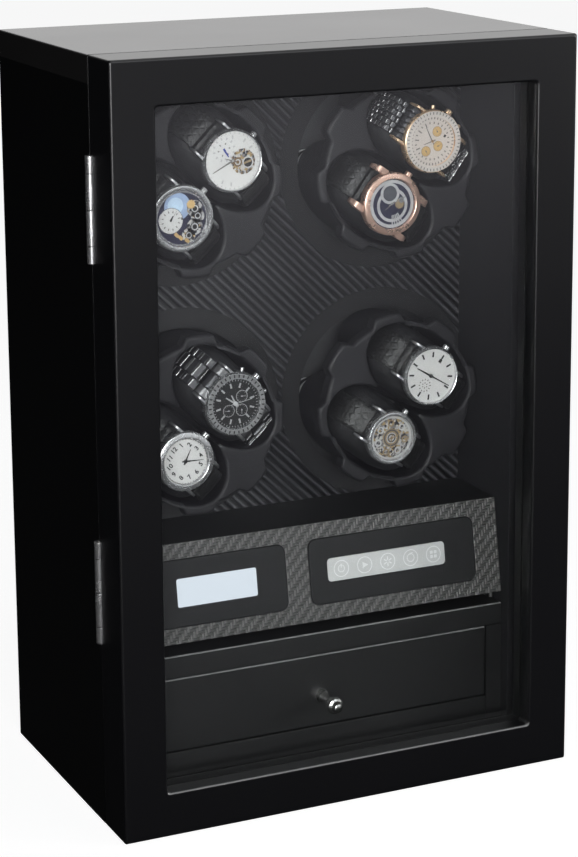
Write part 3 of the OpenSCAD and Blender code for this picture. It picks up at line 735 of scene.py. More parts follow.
# ---------------------------------------------------------------- cabinet boards
def on_envelope(edge):
    """True for an edge that lies on two outer faces of the cabinet."""
    limits = ((-BOX_W / 2, BOX_W / 2), (CAB_Y, BACK_Y), (0.0, BOX_H))
    planes = [(axis, end * MM) for axis, ends in enumerate(limits) for end in ends]
    touched = [all(abs(v.co[axis] - end) < 2e-5 for v in edge.verts) for axis, end in planes]
    return sum(touched) >= 2


BOARD_ROUND = 1.2
for board in ("side_panel_left", "side_panel_right", "bottom_panel"):
    rounded_copy(board, LACQUER, BOARD_ROUND, on_envelope, 40.0)
# The top takes the lighter copy of the lacquer: painted light.
rounded_copy("top_panel", LACQUER_TOP_LIT, BOARD_ROUND, on_envelope, 40.0)


# ---------------------------------------------------------------- door frame
def door_contour(inset, radius, y, n=5):
    """Points round the door at one depth, by side, each from a corner's middle to the next corner's."""
    half_w = BOX_W / 2 - inset - radius
    half_h = BOX_H / 2 - inset - radius
    arcs = []
    for k, (sx, sz) in enumerate(((1, 1), (-1, 1), (-1, -1), (1, -1))):
        turns = [radians(90 * k + 45 * i / n) for i in range(2 * n + 1)]
        flat = [(radius * cos(a), radius * sin(a)) for a in turns]
        arcs.append(at_depth(flat, y, (sx * half_w, BOX_H / 2 + sz * half_h)))
    return [arcs[k][n:] + arcs[(k + 1) % 4][: n + 1] for k in range(4)]


def door_profile():
    """(inset, corner radius, depth) round the section of a frame member."""
    corner, opening_corner, rebate_corner = 1.5, 3.0, 1.0
    chamfer = 0.6
    outer = [(inset, corner, y) for inset, y in reversed(front_arc(2.0, FRONT_Y, 4))]
    inner = [(DOOR_MEMBER - inset, opening_corner, y) for inset, y in front_arc(1.6, FRONT_Y, 4)]
    rebate = [(DOOR_MEMBER, opening_corner, GLASS_Y)]
    rebate += [(REBATE, rebate_corner, y) for y in (GLASS_Y, DOOR_BACK_Y)]
    return outer + inner + rebate + [(chamfer, corner, DOOR_BACK_Y), (0.0, corner, DOOR_BACK_Y - chamfer)]


def hinge_cutters():
    """Room for the knuckles, and for the leaves between the door and the cabinet."""
    knuckle_r = 3.4
    leaf_depth = 1.8
    leaf_reach = 16
    tools = []
    for z in HINGE_ZS:
        tools.append(cylinder_tool((-BOX_W / 2, HINGE_Y, z), knuckle_r, 2 * HINGE_HALF + 0.8))
        low = (-BOX_W / 2 - 1, HINGE_Y - leaf_depth, z - HINGE_HALF)
        high = (-BOX_W / 2 + leaf_reach, DOOR_BACK_Y + 1, z + HINGE_HALF)
        tools.append(block_tool(low, high))
    return tools


def magnet_cutters():
    magnet_r = 6.0
    return [cylinder_tool((MAGNET_X, DOOR_BACK_Y - 1.5, z), magnet_r, 5.0, "Y") for z in MAGNET_ZS]


def build_door_frame():
    names = ("door_rail_top", "door_stile_left", "door_rail_bottom", "door_stile_right")
    contours = [door_contour(*level) for level in door_profile()]
    pieces = {}
    for k, name in enumerate(names):
        shape = Shape()
        shape.loft(list(zip(*[sides[k] for sides in contours])), LACQUER_DOOR)
        pieces[name] = shape.object(name + "_moulded", "door", name)
    opening_z = DOOR_MEMBER / 2 * MM
    # Painted highlight on the rounding along the top of the bottom rail's inner edge.
    paint(
        pieces["door_rail_bottom"],
        DOOR_EDGE_HIGHLIGHT,
        lambda face: faces_up_and_out(face.normal) and face.center.z > opening_z,
    )
    cut(pieces["door_stile_left"], hinge_cutters())
    cut(pieces["door_stile_right"], magnet_cutters())


build_door_frame()


# ---------------------------------------------------------------- hinges, knob and small metal
KNUCKLE_REACH = 3.05


def on_knuckle(edge):
    """True for an edge round the end of a hinge knuckle."""
    return all(abs(v.co.x + BOX_W / 2 * MM) < KNUCKLE_REACH * MM for v in edge.verts)


for leaf in ("hinge_cabinet_leaves", "hinge_door_leaves"):
    rounded_copy(leaf, HINGE_STEEL, 0.8, on_knuckle, 50.0)
rounded_copy("hinge_pins", NICKEL, 0.3, angle=50.0)


def build_knob():
    """A turned knob, given as (radius, distance from the drawer's front)."""
    stem = [(5.0, 0.0), (5.0, 1.4), (4.6, 2.0), (3.6, 2.8), (3.1, 4.2), (3.0, 8.0), (3.1, 12.5)]
    head = [(3.6, 15.0), (4.5, 17.2), (5.3, 18.4), (5.85, 19.4), (6.0, 20.4), (6.0, 21.6), (5.8, 22.6)]
    tip = [(5.2, 23.3), (4.2, 23.6), (3.8, 23.9), (3.7, 24.4), (3.6, 26.2), (3.2, 27.2), (2.4, 27.8)]
    bore = [(AXIS_R, 10.0), (2.0, 10.0), (2.0, 0.0)]
    profile = bore + stem + head + tip + [(AXIS_R, KNOB_LEN)]
    knob = Shape()
    knob.spin([(r, DRAWER_Y - d) for r, d in profile], NICKEL, 64, (0.0, KNOB_Z))
    knob.object("drawer_knob_turned", "drawer", "drawer_knob", smooth=40.0)


def build_rear_screws():
    """Eight screws, given as (radius, distance in from the head's face)."""
    profile = [(AXIS_R, 22), (0.8, 21), (1.5, 19), (1.5, 1.5), (3.0, 0.5), (3.0, 0.2)]
    profile += [(2.8, 0.0), (1.7, 0.0), (1.2, 0.9), (AXIS_R, 1.0)]
    face_y = BACK_Y - 2.0
    screws = Shape()
    for k in range(4):
        z = BOX_H * (0.12 + 0.76 * k / 3)
        for side in (-1, 1):
            screws.spin([(r, face_y - d) for r, d in profile], ZINC, 32, (side * SCREW_X, z))
    screws.object("rear_panel_screws_turned", "cabinet", "rear_panel_screws", smooth=40.0)


build_knob()
build_rear_screws()


# ---------------------------------------------------------------- ribbed fascia
SURROUND_R = 74.0
RIB_ANGLE = -44.0


def rib_section(reach):
    """(across, depth) over a row of ribs, closed by the board's back."""
    rib = [(0.0, 0.0), (0.3, 0.06), (0.4, 0.5), (0.5, 0.94)]
    rib += [(0.6, 1.0), (0.7, 0.94), (0.8, 0.5), (0.9, 0.06)]
    section = []
    for k in range(int(2 * reach / RIB_PITCH)):
        base = -reach + k * RIB_PITCH
        section += [(base + share * RIB_PITCH, FASCIA_Y + RIB_DEPTH * (1 - rise)) for share, rise in rib]
    end = section[-1][0] + 0.1 * RIB_PITCH
    back_y = FASCIA_Y + FASCIA_T
    return section + [(end, FASCIA_Y + RIB_DEPTH), (end, back_y), (section[0][0], back_y)]


def build_fascia():
    """Ribs that run down to the right, cut to the fascia's outline, its openings and their surrounds."""
    reach = hypot(2 * INNER_X, CEILING_Z - SHELF_TOP_Z) / 2 + 8
    a = radians(RIB_ANGLE)
    along = Vector((cos(a), 0.0, sin(a)))
    across = Vector((-sin(a), 0.0, cos(a)))
    middle = Vector((0.0, 0.0, (CEILING_Z + SHELF_TOP_Z) / 2))
    rings = []
    for end in (-reach, reach):
        places = [(middle + along * end + across * s, y) for s, y in rib_section(reach)]
        rings.append([(p.x, y, p.z) for p, y in places])
    ribs = Shape()
    ribs.loft(rings, RIBBED)
    piece = ribs.object("fascia_ribbed", "cabinet", "fascia", smooth=50.0)
    low = (-INNER_X, FASCIA_Y - 1, SHELF_TOP_Z)
    high = (INNER_X, FASCIA_Y + FASCIA_T + 1, CEILING_Z)
    keep = block_tool(low, high)
    spots = [(x, z) for x, z, _ in TURNTABLES.values()]
    rounds = [cylinder_tool((x, FASCIA_Y + 2, z), HOLE_R, 12.0, "Y", 96) for x, z in spots]
    ring_y = FASCIA_Y + RIB_DEPTH - 3.0
    rounds += [cylinder_tool((x, ring_y, z), SURROUND_R, 6.0, "Y", 96) for x, z in spots]
    cut(piece, rounds, keep)

    def in_surround(face):
        at = face.center / MM
        return min(hypot(at.x - x, at.z - z) for x, z in spots) < SURROUND_R

    # The surrounds take the dark colour: painted shade round each opening.
    paint(piece, SURROUND, in_surround)


build_fascia()


# ---------------------------------------------------------------- turntables
def turntable_shape():
    """A lobed flange with two pockets that run together, a cup behind each, and a hub."""
    lip = 2.4
    rim = 3.0
    floor_round = 4.0
    cup_round = 2.0
    back_y = FLANGE_Y + FLANGE_T
    disc = Shape()
    outer = front_arc(rim, FLANGE_Y, 5) + back_arc(1.0, back_y, 2)
    disc.loft([at_depth(lobed(inset), y) for inset, y in outer], DISC, False, False)
    well = [(-inset, y) for inset, y in front_arc(lip, FLANGE_Y, 5)]
    well += back_arc(floor_round, POCKET_FLOOR_Y, 3)
    disc.loft([at_depth(twin_pocket(inset), y) for inset, y in well], DISC, False, False)
    disc.fill(twin_pocket(floor_round), [], POCKET_FLOOR_Y, DISC)
    disc.fill(lobed(rim), [twin_pocket(-lip)], FLANGE_Y, DISC)
    cup = [(0.0, back_y)] + back_arc(cup_round, CUP_BACK_Y, 3)
    disc.loft([at_depth(twin_pocket(inset - CUP_WALL), y) for inset, y in cup], DISC, False, False)
    disc.fill(lobed(1.0), [twin_pocket(-CUP_WALL)], back_y, DISC)
    hub_r = 3.5 * SPINDLE_R
    disc.fill(twin_pocket(cup_round - CUP_WALL), [ring_of(hub_r, 48)], CUP_BACK_Y, DISC)
    hub = [(hub_r, CUP_BACK_Y), (hub_r, HUB_BACK_Y - 0.6), (hub_r - 0.6, HUB_BACK_Y)]
    hub += [(SPINDLE_R, HUB_BACK_Y), (SPINDLE_R, CUP_BACK_Y)]
    disc.loft([at_depth(ring_of(r, 48), y) for r, y in hub], DISC, False, True)
    return disc


def turned(name):
    """The matrix from a turntable's own frame to the cabinet's."""
    x, z, angle = TURNTABLES[name]
    return Matrix.Translation((x, 0.0, z)) @ Matrix.Rotation(radians(-angle), 4, "Y")


DISC_SHAPE = turntable_shape()
for place in TURNTABLES:
    node = "turntable_" + place
    DISC_SHAPE.moved(turned(place)).object(node + "_moulded", node, node, smooth=35.0)


# ---------------------------------------------------------------- cushions
CUSHION_HALF_X = 23.0
CUSHION_HALF_Z = 34.2
CUSHION_SWELL = 2.4
SIM_FRAMES = 20


def bent(value, power):
    """A sine or cosine bent towards a box; it keeps its sign."""
    return copysign(abs(value) ** power, value)


def cushion_start():
    """The cushion before it is stuffed: a box with soft corners."""
    y0, y1 = CASE_BACK_Y + 2.0, CUSHION_BACK_Y - 2.0
    mid_y, half_y = (y0 + y1) / 2, (y1 - y0) / 2
    power = 0.55
    levels = 17
    rings = []
    for k in range(levels):
        t = pi * (k + 0.5) / levels
        spread = max(0.15, sin(t)) ** power
        z = CUSHION_HALF_Z * bent(cos(t), power)
        flat = [(bent(c, 0.75), bent(s, 0.75)) for c, s in ring_of(1.0, 40)]
        rings.append([(CUSHION_HALF_X * spread * c, mid_y + half_y * spread * s, z) for c, s in flat])
    start = Shape()
    start.loft(rings, CUSHION)
    mesh = start.mesh("cushion_start")
    tidy_mesh(mesh, 60.0)
    return mesh


def places_of(mesh):
    return np.array([v.co for v in mesh.vertices], float)


def set_places(mesh, places):
    mesh.vertices.foreach_set("co", places.astype(np.float32).ravel())


def stuffed(obj):
    """Vertex places after a cloth simulation under pressure, with the strap's band held."""
    held = obj.vertex_groups.new(name="held")
    band = [v.index for v in obj.data.vertices if abs(v.co.x) < 9.0 * MM and abs(v.co.z) < 40.0 * MM]
    held.add(band, 1.0, "REPLACE")
    before = places_of(obj.data)
    cloth = obj.modifiers.new("cloth", "CLOTH")
    settings = {
        "use_pressure": True,
        "uniform_pressure_force": 4.0,
        "tension_stiffness": 20.0,
        "compression_stiffness": 20.0,
        "shear_stiffness": 10.0,
        "bending_stiffness": 0.4,
        "vertex_group_mass": "held",
    }
    for key, value in settings.items():
        setattr(cloth.settings, key, value)
    cloth.settings.effector_weights.gravity = 0.0
    cloth.point_cache.frame_start = 1
    cloth.point_cache.frame_end = SIM_FRAMES
    for f in range(1, SIM_FRAMES + 1):
        scene.frame_set(f)
    settled = finished_mesh(obj)
    move = places_of(settled) - before
    length = np.linalg.norm(move, axis=1, keepdims=True)
    obj.modifiers.clear()
    obj.vertex_groups.clear()
    return before + move * np.minimum(1.0, CUSHION_SWELL * MM / np.maximum(length, 1e-9))


def cushion_mesh():
    """A stuffed cushion drawn in by the strap round its middle, smooth and kept within its room."""
    obj = linked("cushion_sim", cushion_start())
    remesh = obj.modifiers.new("remesh", "REMESH")
    remesh.mode = "VOXEL"
    remesh.voxel_size = 0.0032
    obj.data = finished_mesh(obj)
    obj.modifiers.clear()
    set_places(obj.data, stuffed(obj))
    smooth = obj.modifiers.new("smooth", "SUBSURF")
    smooth.levels = 1
    smooth.render_levels = 1
    scene.frame_set(1)
    mesh = finished_mesh(obj)
    bpy.data.objects.remove(obj)
    places = places_of(mesh)
    room = ((-24.6, 24.6), (CASE_BACK_Y + 0.1, CUSHION_BACK_Y - 0.1), (-36.0, 36.0))
    for axis, (low, high) in enumerate(room):
        places[:, axis] = np.clip(places[:, axis], low * MM, high * MM)
    set_places(mesh, places)
    shade_smooth(mesh)
    mesh.materials.clear()
    mesh.materials.append(CUSHION)
    return mesh


def placed_pocket(name, side):
    return turned(name) @ Matrix.Translation((side * POCKET_OFF, 0.0, 0.0))


CUSHION_MESH = cushion_mesh()
for place in TURNTABLES:
    for side, word in ((1, "high"), (-1, "low")):
        pose = placed_pocket(place, side)
        pose.translation = pose.translation * MM
        mesh = CUSHION_MESH.copy()
        mesh.transform(pose)
        obj = linked("cushion_%s_%s" % (place, word), mesh)
        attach(obj, "turntable_" + place)
        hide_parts("cushions_" + place)


# ---------------------------------------------------------------- watches
DIAL_Y = FACE_Y + 2.6
BACK_OF_CASE_Y = CASE_BACK_Y - 0.4
CROWN_Y = FACE_Y + 5.6
STRAP_T = 2.8
STRAP_SHARE = 1.12
PATH_R = 17.6
PATH_Z = 37.5
PATH_FRONT_Y = CASE_BACK_Y - 1.6
PATH_BACK_Y = CUSHION_BACK_Y + 1.65


def clock(hour, radius):
    """The place on a dial at an hour and a distance from its middle."""
    a = radians(30.0 * hour)
    return (radius * sin(a), radius * cos(a))


def shifted(point, offset):
    return (point[0] + offset[0], point[1] + offset[1])


class Head(Shape):
    """A watch's case and dial; r is the radius of the dial, and high is a height above it."""

    def __init__(self, radius, case):
        super().__init__()
        self.radius = radius
        self.case = case
        self.r = radius

    def face(self, radius, high, material, n=48, at=(0.0, 0.0)):
        """A flat disc that stands on the dial."""
        self.disc(radius, DIAL_Y - high, DIAL_Y, material, n, at)

    def band(self, inner, outer, high, material, at=(0.0, 0.0), n=64):
        """A flat ring on the dial."""
        self.ring(inner, outer, DIAL_Y - high, DIAL_Y, material, at, n)

    def dial(self, material):
        self.disc(self.r, DIAL_Y, DIAL_Y + 0.4, material, 96)

    def wheel(self, radius, teeth, depth, high, material, at=(0.0, 0.0), thick=None):
        back_y = DIAL_Y - high + thick if thick else DIAL_Y
        self.plate(gear(radius, teeth, depth), DIAL_Y - high, back_y, material, at=at)

    def marks(self, hours, r0, r1, wide, material, at=(0.0, 0.0), tip=None, y=DIAL_Y):
        for h in hours:
            self.bar(clock(h, r0), clock(h, r1), wide, y - 0.14, y, material, tip, at)

    def track(self, radius, length, wide, material, count, at=(0.0, 0.0), y=DIAL_Y):
        """Evenly spaced marks round a circle."""
        for i in range(count):
            hour = 12.0 * i / count
            self.bar(clock(hour, radius - length), clock(hour, radius), wide, y - 0.06, y, material, at=at)

    def hand(self, hour, length, wide, high, material, tail=2.5, tip=0.35):
        y = DIAL_Y - high
        self.bar(clock(hour + 6, tail), clock(hour, length), wide, y, y + 0.16, material, tip)

    def hub(self, high, material, radius=0.9):
        y = DIAL_Y - high
        profile = [(AXIS_R, y - 0.25), (radius * 0.7, y - 0.25), (radius, y), (radius, DIAL_Y)]
        self.spin(profile, material, 24)

    def sub_dial(self, at, radius, plate, ink, hour, high=0.0, rim=None):
        y = DIAL_Y - high
        self.disc(radius, y - 0.06, y, plate, 48, at)
        self.ring(radius - 0.35, radius, y - 0.12, y, rim or ink, at)
        self.track(radius - 0.7, 0.6, 0.16, ink, 12, at, y - 0.06)
        self.bar(clock(hour + 6, 0.8), clock(hour, radius - 1.0), 0.42, y - 0.22, y - 0.1, ink, 0.15, at)
        self.disc(0.5, y - 0.3, y, ink, 16, at)

    def window(self, at, radius):
        """A round window on the movement: a wheel, a balance and its bridge over dark and bright parts."""
        self.face(radius, 0.04, MOVEMENT, at=at)
        self.track(radius * 1.02, radius * 0.2, radius * 0.12, BRASS_DARK, 14, at, DIAL_Y - 0.05)
        wheel_at = shifted(at, (-0.35 * radius, 0.3 * radius))
        self.wheel(radius * 0.4, 14, 0.4, 0.14, BRASS_DARK, wheel_at, 0.1)
        self.ring(radius * 0.14, radius * 0.24, DIAL_Y - 0.2, DIAL_Y - 0.1, STEEL_PALE, wheel_at, 24)
        balance_at = shifted(at, (0.22 * radius, -0.34 * radius))
        self.plate(circle(radius * 0.42, 32), DIAL_Y - 0.16, DIAL_Y - 0.04, INK, at=balance_at)
        self.ring(radius * 0.36, radius * 0.46, DIAL_Y - 0.26, DIAL_Y - 0.1, STEEL_PALE, balance_at, 32)
        left, right = (-0.3 * radius, 0.2 * radius), (0.3 * radius, -0.1 * radius)
        self.bar(left, right, radius * 0.16, DIAL_Y - 0.3, DIAL_Y - 0.14, GILT, at=balance_at)

    def numerals(self, radius, size, material, high=0.03):
        """The plain numbers 1 to 12 round a dial."""
        for value in range(1, 13):
            curve = bpy.data.curves.new("numeral", "FONT")
            curve.body = str(value)
            curve.size = size
            curve.align_x = "CENTER"
            curve.align_y = "CENTER"
            curve.resolution_u = 3
            curve.offset = 0.12
            obj = linked("numeral", curve)
            mesh = finished_mesh(obj)
            x, z = clock(value, radius)
            verts = [(v.co.x + x, DIAL_Y - high, v.co.y + z) for v in mesh.vertices]
            self.add(verts, [list(p.vertices) for p in mesh.polygons], material)
            bpy.data.objects.remove(obj)
            bpy.data.meshes.remove(mesh)

    def stud(self, angle, reach, radius, teeth=0):
        """A crown or pusher that stands out of the case's side along a radius."""
        n = teeth * 2 if teeth else 32
        a = radians(angle)
        out = Vector((cos(a), 0.0, sin(a)))
        side = Vector((0.0, 1.0, 0.0))
        other = out.cross(side)
        start, end = self.radius - 0.8, self.radius + reach
        profile = [(radius * 0.7, start), (radius * 0.7, start + 0.8), (radius * 0.94, start + 0.9)]
        profile += [(radius, start + 1.2), (radius, end - 0.5)]
        profile += [(radius * 0.9, end - 0.12), (radius * 0.75, end)]
        rings = []
        for r, d in profile:
            notch = 0.16 if teeth and r > radius * 0.8 else 0.0
            tops, roots = ring_of(r, n), ring_of(r - notch, n)
            flat = [roots[i] if i % 2 else tops[i] for i in range(n)]
            places = [out * d + side * u + other * v for u, v in flat]
            rings.append([(p.x, p.y + CROWN_Y, p.z) for p in places])
        self.loft(rings, self.case)

    def lugs(self, strap_w, stout):
        """Four slim horns that run out from the case and bend back to the strap's end."""
        radius = self.radius
        stations = [(0.7 * radius, 2.8, 8.2, 2.1), (0.95 * radius, 3.0, 8.6, 2.0)]
        stations += [(radius + 1.0, 3.8, 8.6, 1.9), (radius + 2.4, 5.2, 8.6, 1.7)]
        stations += [(radius + 3.6, 6.6, 9.2, 1.5), (radius + 4.4, 7.8, 10.0, 1.3)]
        inner = strap_w / 2 + 0.2
        cut_off = 0.35
        material = STEEL_SATIN if self.case is STEEL else self.case
        for sx in (-1, 1):
            for sz in (-1, 1):
                rings = []
                for z, front, back, wide in stations:
                    low, high = sorted((sx * inner, sx * (inner + wide * stout)))
                    xs = (low, low + cut_off, high - cut_off, high)
                    ys = [FACE_Y + d for d in (front, front + cut_off, back - cut_off, back)]
                    ring = [(xs[1], ys[0]), (xs[2], ys[0]), (xs[3], ys[1]), (xs[3], ys[2])]
                    ring += [(xs[2], ys[3]), (xs[1], ys[3]), (xs[0], ys[2]), (xs[0], ys[1])]
                    rings.append([(x, y, sz * z) for x, y in ring])
                self.loft(rings, material)

    def turned_case(self, style):
        """A turned case, given as (radius, distance behind the face); style shapes its bezel."""
        radius = self.radius
        r = self.r = radius * CASE_OPENINGS[style]
        inside = [(AXIS_R, 3.1), (r, 3.1), (r, 2.6), (r + 0.3, 0.9)]
        if style == "double":
            mid = (r + radius) / 2
            bezel = [(r + 0.5, 0.45), (mid - 0.5, 0.3), (mid - 0.2, 0.9), (mid + 0.1, 0.9)]
            bezel += [(mid + 0.35, 0.55), (radius - 0.9, 0.7)]
        elif style == "scale":
            bezel = [(r + 0.5, 0.3), (r + 0.7, 0.25), (radius - 1.0, 0.45)]
        else:
            bezel = [(r + 0.45, 0.5), (r + 0.8, 0.3), (radius - 1.1, 0.75)]
        side = [(radius - 0.5, 1.2), (radius - 0.35, 1.7), (radius - 0.6, 1.9), (radius - 0.1, 2.4)]
        side += [(radius, 3.6), (radius, 7.4), (radius - 0.5, 8.6), (radius - 2.5, 9.6)]
        back = [(radius - 4.0, BACK_OF_CASE_Y - 0.4), (radius - 4.6, BACK_OF_CASE_Y)]
        back.append((AXIS_R, BACK_OF_CASE_Y))
        self.spin([(u, FACE_Y + d) for u, d in inside + bezel + side] + back, self.case, 96)


# The dial's share of the case's radius
CASE_OPENINGS = {"thin": 0.9, "wide": 0.78, "double": 0.82, "scale": 0.76}


def strap_path(radius):
    """Depth and height along a strap, from the lugs at twelve round the cushion to those at six."""
    points = []
    for k in range(2, 14):
        a = radians(90.0 * k / 13)
        points.append((PATH_FRONT_Y + PATH_R * (1 - cos(a)), PATH_Z - PATH_R + PATH_R * sin(a)))
    y = PATH_FRONT_Y + PATH_R
    while y < PATH_BACK_Y - PATH_R:
        points.append((y, PATH_Z))
        y += 3.0
    for k in range(13):
        a = radians(90.0 * k / 12)
        points.append((PATH_BACK_Y - PATH_R * (1 - sin(a)), PATH_Z - PATH_R + PATH_R * cos(a)))
    points = [(y, z) for y, z in points if z > radius + 2.2 or y > -30]
    half = [(FACE_Y + 7.4, radius + 0.2), (FACE_Y + 8.0, radius + 1.6)] + points
    return half + [(y, -z) for y, z in reversed(half) if z > 1.0]


def along_path(path, spacing):
    """Places and directions at equal steps along a path of (y, z)."""
    points = [Vector((0.0, y, z)) for y, z in path]
    lengths = [0.0]
    for a, b in zip(points, points[1:]):
        lengths.append(lengths[-1] + (b - a).length)
    placed = []
    s = spacing / 2
    while s < lengths[-1]:
        k = max(i for i, d in enumerate(lengths) if d <= s)
        k = min(k, len(points) - 2)
        step = points[k + 1] - points[k]
        placed.append((points[k] + step * ((s - lengths[k]) / step.length), step.normalized()))
        s += spacing
    return placed


def link_frame(place, along):
    """The matrix that lays a flat link on the strap: its depth axis points inwards."""
    result = Matrix((SIDEWAYS, -SIDEWAYS.cross(along), along)).transposed().to_4x4()
    result.translation = place
    return result


def leather_strap(radius, strap_w):
    path = strap_path(radius)
    half = strap_w / 2
    crown = 0.45
    section = []
    for k in range(13):
        u = -half + 2 * half * k / 12
        edge = max(0.0, min(1.0, (half - abs(u)) / 1.2))
        thick = STRAP_T / 2 * (0.35 + 0.65 * sqrt(edge))
        section.append((u, thick + crown * (1 - (u / half) ** 2)))
    section += [(half - 2 * half * k / 4, -STRAP_T / 2) for k in range(5)]
    shape = Shape()
    shape.tube(path, section, STRAP)
    stitch = rounded(0.55, 1.9, 0.25, 2)
    for place, along in along_path(path, 3.0):
        if place.y > -8:
            continue
        outward = link_frame(place, along)
        outward.translation = place - outward.to_3x3() @ Vector((0.0, STRAP_T / 2 + 0.15, 0.0))
        for side in (-1, 1):
            thread = Shape()
            thread.plate(stitch, -0.25, 0.2, STITCH, edge=0.15, at=(side * (half - 2.0), 0.0), steps=1)
            shape.join(thread.moved(outward))
    return shape


def columns_of(strap_w, shares):
    """(left edge, width) of each column of links."""
    placed = []
    x = -strap_w / 2
    for share in shares:
        wide = strap_w * share / sum(shares)
        placed.append((x, wide))
        x += wide
    return placed


def end_links(shape, radius, columns, materials):
    """Solid end pieces, one to a column of links, that carry a bracelet up to its case between the lugs."""
    stations = [(0.7 * radius, 4.0, 8.2), (radius + 0.2, 4.2, 8.6)]
    stations += [(radius + 2.4, 5.5, 8.8), (radius + 4.4, 7.8, 10.2)]
    for sz in (-1, 1):
        for k, (x, wide) in enumerate(columns):
            x0, x1 = x + 0.1, x + wide - 0.1
            rings = []
            for z, front, back in stations:
                ring = [(x0, front + 0.5), (x0 + 0.6, front), (x1 - 0.6, front)]
                ring += [(x1, front + 0.5), (x1, back), (x0, back)]
                rings.append([(u, FACE_Y + d, sz * z) for u, d in ring])
            shape.loft(rings, materials[k % len(materials)])


def steel_bracelet(radius, strap_w, shares, pitch, bar_width, end_materials):
    """Rows of staggered links, each with a polished bar across one end; shares are of the width."""
    shape = Shape()
    columns = columns_of(strap_w, shares)
    end_links(shape, radius, columns, end_materials)
    front = -STRAP_T / 2
    links = Shape()
    for k, (x, wide) in enumerate(columns):
        at = (x + wide / 2, pitch * 0.5 if k % 2 else 0.0)
        body = rounded(wide - 0.3, pitch - 0.35, 0.7, 2)
        links.plate(body, front + 0.12, -front, STEEL_LINK, edge=0.75, back_edge=0.4, at=at, steps=2)
        face = rounded(wide - 1.1, pitch - 1.3, 0.5, 2)
        links.plate(face, front, 0.0, STEEL_LINK, edge=0.1, at=at, steps=1)
        polished = rounded(wide - 0.9, bar_width, 0.2, 2)
        bar_at = shifted(at, (0.0, pitch / 2 - 0.35 - bar_width / 2))
        links.plate(polished, front - 0.1, 0.0, STEEL, edge=0.1, at=bar_at, steps=1)
    for place, along in along_path(strap_path(radius), pitch):
        shape.join(links.moved(link_frame(place, along)))
    return shape


def three_links(radius, strap_w):
    return steel_bracelet(radius, strap_w, (1.0, 1.7, 1.0), 5.6, 0.9, (STEEL_GREY, STEEL_LINK))


def brick_links(radius, strap_w):
    return steel_bracelet(radius, strap_w, (1.0,) * 6, 3.8, 0.8, (STEEL_LINK,))


def build_watch(place, word, radius, case, style, strap, dress, crown=2.6, pushers=(), stout=1.0):
    """One watch on its cushion: case and dial, strap, and crystal."""
    strap_w = radius * STRAP_SHARE
    matrix = placed_pocket(place, 1 if word == "high" else -1)
    head = Head(radius, case)
    head.turned_case(style)
    head.lugs(strap_w, stout)
    head.stud(0.0, 3.2, crown, 16)
    for angle in pushers:
        head.stud(angle, 2.6, 1.5)
    dress(head, head.r)
    cover = Shape()
    cover.spin([(AXIS_R, FACE_Y + 0.12), (head.r * 0.6, FACE_Y + 0.2), (head.r + 0.2, FACE_Y + 0.5)], CRYSTAL)
    for shape, part in ((head, "head"), (strap(radius, strap_w), "strap"), (cover, "crystal")):
        name = "watch_%s_%s_%s" % (place, word, part)
        shape.moved(matrix).object(name, "turntable_" + place, "watches_" + place, weld=shape is not cover)


def open_heart_dial(head, r):
    head.dial(DIAL_WHITE)
    head.track(r - 0.5, 0.7, 0.35, INK_GREY, 36)
    sub_at = clock(12.2, r * 0.5)
    head.track(r * 0.42, 1.6, 1.1, INK_PALE, 12, sub_at)
    head.track(r * 0.24, 1.2, 0.8, INK_GREY, 6, sub_at)
    head.bar(clock(12.4, 0.8), clock(6.4, r * 0.3), 1.5, DIAL_Y - 0.5, DIAL_Y - 0.36, INK_BLUE, 0.8, sub_at)
    head.marks((1.5, 2.6, 3.4, 8.4, 7.6), r * 0.74, r * 0.88, 1.0, INK_PALE)
    head.window(clock(4.7, r * 0.4), r * 0.44)
    head.hand(9.55, r * 0.84, 1.2, 0.75, INK_GREY, tail=0.5, tip=0.6)
    head.hand(11.0, r * 0.3, 1.2, 0.6, INK_GREY)
    head.hub(0.8, STEEL)


def sky_dial(head, r):
    head.dial(DIAL_NAVY)
    head.face(r * 0.5, 0.03, DIAL_SKY, at=clock(0.8, r * 0.46))
    head.face(r * 0.3, 0.06, DIAL_PALE_SKY, at=clock(0.6, r * 0.52))
    small_at = clock(10.2, r * 0.42)
    head.sub_dial(small_at, r * 0.47, DIAL_WHITE, INK_GREY, 2.6, 0.08, rim=STEEL)
    head.track(r * 0.36, 1.4, 0.7, INK_GREY, 12, small_at, DIAL_Y - 0.12)
    head.bar((-0.5, 0.0), (3.4, 1.2), 1.6, DIAL_Y - 0.5, DIAL_Y - 0.3, INK, 0.6, small_at)
    for hour, reach, size in ((3.4, 0.6, 0.3), (4.3, 0.62, 0.26), (5.6, 0.6, 0.3), (6.7, 0.68, 0.26)):
        at = clock(hour, r * reach)
        head.face(r * size, 0.1, MOVEMENT, 32, at)
        head.wheel(r * size * 0.6, 12, 0.5, 0.2, INK, at, 0.1)
        head.ring(r * size * 0.3, r * size * 0.44, DIAL_Y - 0.26, DIAL_Y - 0.05, STEEL_PALE, at, 24)
    head.wheel(r * 0.17, 12, 0.5, 0.3, AMBER, clock(2.7, r * 0.6))
    for hour, reach in ((7.6, 0.7), (8.1, 0.62), (7.0, 0.84)):
        at = clock(hour, r * reach)
        head.plate(rounded(2.2, 3.4, 0.4, 2), DIAL_Y - 0.36, DIAL_Y, AMBER, edge=0.1, at=at, steps=1)
    head.band(r * 0.93, r * 0.99, 0.3, STEEL)
    head.hub(0.7, STEEL)


